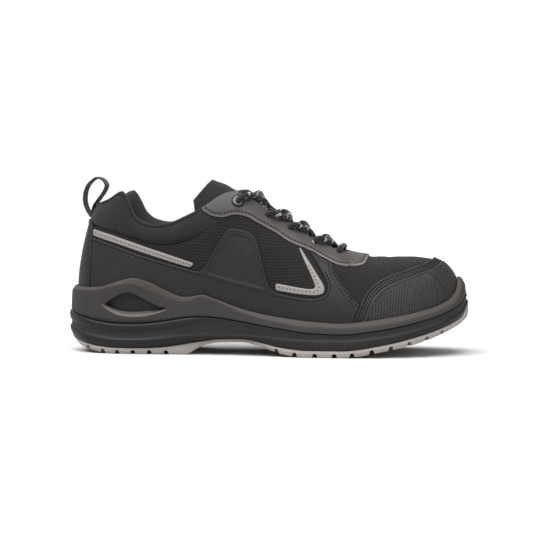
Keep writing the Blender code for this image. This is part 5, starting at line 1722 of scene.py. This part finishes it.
yarn = node(
    tree, "ShaderNodeMix", {0: crest, 6: hex_colour("#0c0c0c"), 7: hex_colour("#2a2828")}, data_type="RGBA"
)
tone = node(tree, "ShaderNodeMix", {0: fleck, 6: yarn, 7: hex_colour("#bdb8b2")}, data_type="RGBA")
bump = node(tree, "ShaderNodeBump", {"Height": crest, "Distance": 0.4 * MM, "Strength": 0.8})
dress(tree, shader, Base_Color=tone, Normal=bump)


def tongue_top(x):
    """Height of the tongue's ridge at a place along the shoe."""
    table = np.array(TONGUE, float)[::-1]
    return float(smooth(table[:, 0], table[:, 1], x))


def over_edge(turn, side, forward, lift):
    """A place over or under the throat's edge, a little nearer the toe than a hole."""
    ahead = angle_of(station_at(fold(turn)[0]) + forward)
    at = ahead if side < 0 else 360 - ahead
    return bare(at, 1.0) + bare_normal(at, 1.0) * lift


LIFT = GAP + OVERLAY + 0.2 + LACE / 2
EDGE_AHEAD = (8.0, 8.0, 5.5, 6.0)
UNDER = -(WALL + LACE / 2 + 0.4)


def strand(side, k):
    """Places of the cord from one hole over to under the next hole on the other side."""
    at, n, turn = hole_spots[side][k]
    to_at, to_n, to_turn = hole_spots[-side][k + 1]
    edge = over_edge(turn, side, EDGE_AHEAD[k], LIFT)
    dive = over_edge(to_turn, -side, -1.0, UNDER)
    mid_x = edge[0] * 0.45 + to_at[0] * 0.55
    middle = np.array(
        [mid_x, float(ridge_y(mid_x)), tongue_top(mid_x) + LACE / 2 + (0.5 if side > 0 else 4.2)]
    )
    toward = (edge - at) / np.linalg.norm(edge - at)
    out = at + n * (LIFT + 0.2) + toward * 2.8
    return [at - n * 4.0, at + n * 1.4, out, edge, middle, dive, to_at - to_n * 5.5]


def curve_through(points, step):
    """A smooth curve that passes through every place, its points about a step apart."""
    points = np.asarray(points, float)
    before = np.vstack([2 * points[0] - points[1], points[:-1]])
    after = np.vstack([points[1:], 2 * points[-1] - points[-2]])
    slope = (after - before) / 2
    t = np.linspace(0, 1, 13)[:-1, None]
    pieces = []
    for a, b, m, n in zip(points[:-1], points[1:], slope[:-1], slope[1:]):
        pieces.append((2 * t ** 3 - 3 * t ** 2 + 1) * a + (t ** 3 - 2 * t ** 2 + t) * m
                      + (3 * t ** 2 - 2 * t ** 3) * b + (t ** 3 - t ** 2) * n)
    return spaced(np.concatenate(pieces + [points[-1:]]), step, closed=False)


def tube(path, radius):
    """Rings of points round a path, turned as little as possible from one to the next."""
    ways = np.gradient(path, axis=0)
    ways /= np.linalg.norm(ways, axis=1, keepdims=True)
    out = np.cross(ways[0], (0.0, 0.0, 1.0))
    rings = []
    for p, w in zip(path, ways):
        out = out - w * np.dot(out, w)
        out /= np.linalg.norm(out)
        side_way = np.cross(w, out)
        turns = np.linspace(0, 2 * np.pi, LACE_SIDES + 1)[:, None]
        rings.append(p + (out * np.cos(turns) + side_way * np.sin(turns)) * radius)
    return np.array(rings)


def half_lace(side):
    """Places of the strands from a top hole down to the front pair, and the side where they end."""
    places = []
    for k in range(len(HOLES) - 1):
        places += strand(side, k)
        side = -side
    return places, side


down, down_side = half_lace(-1.0)
up, up_side = half_lace(1.0)
a_at, a_n, _ = hole_spots[down_side][-1]
b_at, b_n, _ = hole_spots[up_side][-1]
bar = []
for part in np.linspace(0.06, 0.94, 7):
    lift = LIFT + 0.5 + 1.2 * math.sin(math.pi * part)
    bar.append(a_at * (1 - part) + b_at * part + (a_n * (1 - part) + b_n * part) * lift)
route = down + [a_at + a_n * 1.6] + bar + [b_at + b_n * 1.6] + up[::-1]
path = curve_through(route, 0.9)
rings = tube(path, LACE / 2)
uv = np.stack(
    [
        np.broadcast_to(lengths(path, 0)[:, None], rings.shape[:2]),
        np.broadcast_to(np.linspace(0, around_lace, LACE_SIDES + 1), rings.shape[:2]),
    ],
    -1,
)
faces = [f[::-1] for f in grid(*rings.shape[:2])]
last = (len(path) - 1) * (LACE_SIDES + 1)
faces += [list(range(LACE_SIDES)), list(range(last + LACE_SIDES - 1, last - 1, -1))]
lace = make("lace", rings, faces, [braid], uv)
fit(face_out(lace), "lace_cord", "lace_cross_1", "lace_cross_2", "lace_cross_3", "lace_cross_4", "lace_bar")
print("lace length", round(float(lengths(path, 0)[-1])), "mm")

# %% [markdown]
# ## Sewing
# Every overlay is sewn down with one or two rows of thick black thread, and each stitch sinks a little into
# the cloth. A stitch is a small swollen shape repeated thousands of times along a path, which is just what
# Geometry Nodes are for: the rows are drawn as plain edges with the direction that the surface faces stored
# on them, and one tree spaces and turns the stitches.

# %% Sewing tree
def stored(name, points, edges, **vectors):
    """A bare mesh of points and edges that carries directions for a node tree."""
    mesh = bpy.data.meshes.new(name)
    mesh.from_pydata(place(points).tolist(), edges, [])
    for key, values in vectors.items():
        held = mesh.attributes.new(key, "FLOAT_VECTOR", "POINT")
        held.data.foreach_set("vector", np.asarray(values, np.float32).ravel())
    made = bpy.data.objects.new(name, mesh)
    bpy.context.scene.collection.objects.link(made)
    return made


def stud_tree(name, on_path):
    """A tree that puts a swollen stud on each point, or along each path at a pitch."""
    tree = bpy.data.node_groups.new(name, "GeometryNodeTree")
    sizes = ("Pitch", "Length", "Width", "Height")
    tree.interface.new_socket("Geometry", in_out="INPUT", socket_type="NodeSocketGeometry")
    for word in sizes:
        tree.interface.new_socket(word, in_out="INPUT", socket_type="NodeSocketFloat")
    tree.interface.new_socket("Finish", in_out="INPUT", socket_type="NodeSocketMaterial")
    tree.interface.new_socket("Geometry", in_out="OUTPUT", socket_type="NodeSocketGeometry")
    given = node(tree, "NodeGroupInput").node.outputs
    spots = given["Geometry"]
    ahead = node(tree, "GeometryNodeInputNamedAttribute", {"Name": "heading"}, data_type="FLOAT_VECTOR")
    if on_path:
        spots = node(tree, "GeometryNodeMeshToCurve", {"Mesh": spots})
        spots = node(
            tree, "GeometryNodeResampleCurve", {"Curve": spots, "Length": given["Pitch"]}, mode="LENGTH"
        )
        ahead = node(tree, "GeometryNodeInputTangent")
    facing = node(tree, "GeometryNodeInputNamedAttribute", {"Name": "facing"}, data_type="FLOAT_VECTOR")
    turn = node(tree, "FunctionNodeAlignRotationToVector", {"Vector": ahead}, axis="X")
    turn = node(
        tree,
        "FunctionNodeAlignRotationToVector",
        {"Rotation": turn, "Vector": facing},
        axis="Z",
        pivot_axis="X",
    )
    ball = node(tree, "GeometryNodeMeshUVSphere", {"Segments": 8, "Rings": 4, "Radius": 0.5})
    size = node(tree, "ShaderNodeCombineXYZ", {0: given["Length"], 1: given["Width"], 2: given["Height"]})
    stud = node(tree, "GeometryNodeTransform", {"Geometry": ball, "Scale": size})
    placed = node(
        tree, "GeometryNodeInstanceOnPoints", {"Points": spots, "Instance": stud, "Rotation": turn}
    )
    real = node(tree, "GeometryNodeRealizeInstances", {"Geometry": placed})
    real = node(tree, "GeometryNodeSetShadeSmooth", {"Geometry": real})
    real = node(tree, "GeometryNodeSetMaterial", {"Geometry": real, "Material": given["Finish"]})
    node(tree, "NodeGroupOutput", {"Geometry": real})
    return tree


def run_tree(thing, tree, **inputs):
    """Runs a node tree on an object with its sizes in millimetres, and keeps the result as a plain mesh."""
    step = thing.modifiers.new("studs", "NODES")
    step.node_group = tree
    for socket in tree.interface.items_tree:
        if socket.in_out == "INPUT" and socket.name in inputs:
            value = inputs[socket.name]
            step[socket.identifier] = value if isinstance(value, bpy.types.Material) else value * MM
    return worked_out(thing)


sewing = stud_tree("sewing_rows", True)
studding = stud_tree("studs_on_points", False)

# Polyester thread, twisted and waxed: black with a narrow sheen along each stitch.
thread_black, tree, shader = material("polyester_thread_twisted", "#080707", 0.7, Specular_IOR_Level=0.15)
where = node(tree, "ShaderNodeTexCoord").node.outputs["Object"]
ply, tone = mottled(tree, where, 1500.0, 2.0, "#060606", "#0e0d0d", flat=False)
bump = node(tree, "ShaderNodeBump", {"Height": ply, "Distance": 0.1 * MM, "Strength": 0.6})
dress(tree, shader, Base_Color=tone, Normal=bump)
print("trees:", sewing.name, studding.name)

# %% Sewn rows
sewn_points, sewn_edges, sewn_facing = [], [], []


def sew(turn, share, lift):
    """Adds one row of thread over the last, at a height above it."""
    at = outside(turn, share, lift)
    start = len(sewn_points)
    sewn_points.extend(at.tolist())
    sewn_facing.extend(bare_normal(turn, share).tolist())
    sewn_edges.extend([(start + i, start + i + 1) for i in range(len(at) - 1)])


def inset_line(line, depth):
    """A line drawn in side view, moved to its right by a depth."""
    line = eased(line, 0.8)
    run = np.gradient(line, axis=0)
    run /= np.linalg.norm(run, axis=1, keepdims=True)
    return line + np.stack([run[:, 1], -run[:, 0]], -1) * depth


SEWN_TOP = GAP + OVERLAY - 0.1
CAP_SEWN_TOP = GAP + OVERLAY - 0.32
STAY_SEWN_END = 0.96
for side in (-1.0, 1.0):
    for line, depth in (
        (FOXING_TOP[:5], FOXING_SEWN),
        (SUPPORT[1:7], 1.9),
        (FOXING_TOP[11:18], FOXING_SEWN),
        (FOXING_RIDGE[3:7], 1.6),
        (VAMP_SEAM, 1.4),
        (VAMP_SEAM, 3.6),
    ):
        drawn = inset_line(line, depth)
        sew(*on_side(drawn[:, 0], drawn[:, 1], side), SEWN_TOP)
    stay_turn = stay_half if side < 0 else 360 - stay_half
    held = stay_sewn < STAY_SEWN_END
    sew(stay_turn[held], stay_sewn[held], SEWN_TOP)
for level in SEWN_ROWS:
    deep = cap_inset.max(0) > level + 0.3
    share = np.array(
        [np.interp(level, cap_inset[::-1, j], cap_shares[::-1, j]) for j in np.flatnonzero(deep)]
    )
    sew(cap_turn[deep], share, CAP_SEWN_TOP)
rows = stored("sewn_rows", np.array(sewn_points), sewn_edges, facing=sewn_facing)
run_tree(rows, sewing, Pitch=2.6, Length=2.0, Width=0.9, Height=0.6, Finish=thread_black)
fit(rows, "smooth_synthetic")

# %% [markdown]
# ## Knurl and pin holes
# The cap's field is covered with small moulded dashes in staggered rows that follow the toe. The same stud
# tree makes them, and flat dark discs of painted shade that stand for the pin holes in the reflective tape,
# which are too small to be worth cutting.

# %% Knurl and pin holes
KNURL_ROW = 1.35
KNURL_STEP = 2.15
KNURL_ROWS = range(2, 66)
KNURL_SEAT = GAP + OVERLAY - 0.12
# Nitrile rubber of the dashes: painted lighter than the cap, as painted highlight on the raised dashes.
cap_dash_painted_highlight, tree, shader = material("nitrile_rubber_dashes_painted_highlight", "#343130", 0.5, Specular_IOR_Level=0.4)
where = node(tree, "ShaderNodeTexCoord").node.outputs["Object"]
_, tone = mottled(tree, where, 90.0, 3.0, "#2c2a29", "#3d3a38", flat=False)
dress(tree, shader, Base_Color=tone)
points, ahead, facing = [], [], []


def add_studs(turn, share, lift):
    """Adds places for studs, with the way round the shoe and the way the surface faces at each."""
    points.extend(outside(turn, share, lift).tolist())
    ahead.extend((outside(turn + 0.3, share) - outside(turn - 0.3, share)).tolist())
    facing.extend(bare_normal(turn, share).tolist())


rib_run = lengths(laid_cap, 0)
for k in KNURL_ROWS:
    up_cap = k * KNURL_ROW
    share, inset, band = (
        np.array([np.interp(up_cap, rib_run[:, j], held[:, j]) for j in range(len(cap_turn))])
        for held in (cap_shares, cap_inset, cap_band)
    )
    open_field = (inset > FIELD_START + 1.1) & (band > BAND_HALF + 0.8) & (up_cap < rib_run[-1])
    line = outside(cap_turn, share, GAP + OVERLAY - 0.15)
    run = lengths(line, 0)
    at = np.arange(KNURL_STEP * (0.5 if k % 2 else 1.0), run[-1], KNURL_STEP)
    use = np.interp(at, run, open_field.astype(float)) > 0.95
    add_studs(np.interp(at[use], run, cap_turn), np.interp(at[use], run, share), KNURL_SEAT)
knurl = stored("toe_cap_knurl", np.array(points), [], heading=ahead, facing=facing)
run_tree(knurl, studding, Pitch=1.0, Length=2.05, Width=1.05, Height=0.9, Finish=cap_dash_painted_highlight)
fit(knurl, "cap_rubber")

# The pin holes' shaded insides: dull and near black, so that each reads as a hole.
pin_shade, _, _ = material("pin_hole_shaded", "#1a1919", 0.9, Specular_IOR_Level=0.1)
points, ahead, facing = [], [], []
heel_middle = (np.array(HEEL_STRIP_TOP) + np.array(HEEL_STRIP_LOW)) / 2
corner_middle = ((161.3, 51.2), (180.5, 48.2), (191.0, 47.2), (193.6, 50.0), (190.5, 56.5), (183.5, 68.5))
for line, step in ((heel_middle, 2.2), (corner_middle, 2.8)):
    drawn = eased(line, step)[1:-1]
    for side in (-1.0, 1.0):
        add_studs(*on_side(drawn[:, 0], drawn[:, 1], side), GAP + TRIM)
pins = stored("trim_pin_holes_painted_shade", np.array(points), [], heading=ahead, facing=facing)
run_tree(pins, studding, Pitch=1.0, Length=1.2, Width=0.9, Height=0.12, Finish=pin_shade)
fit(pins, "reflective_trim")
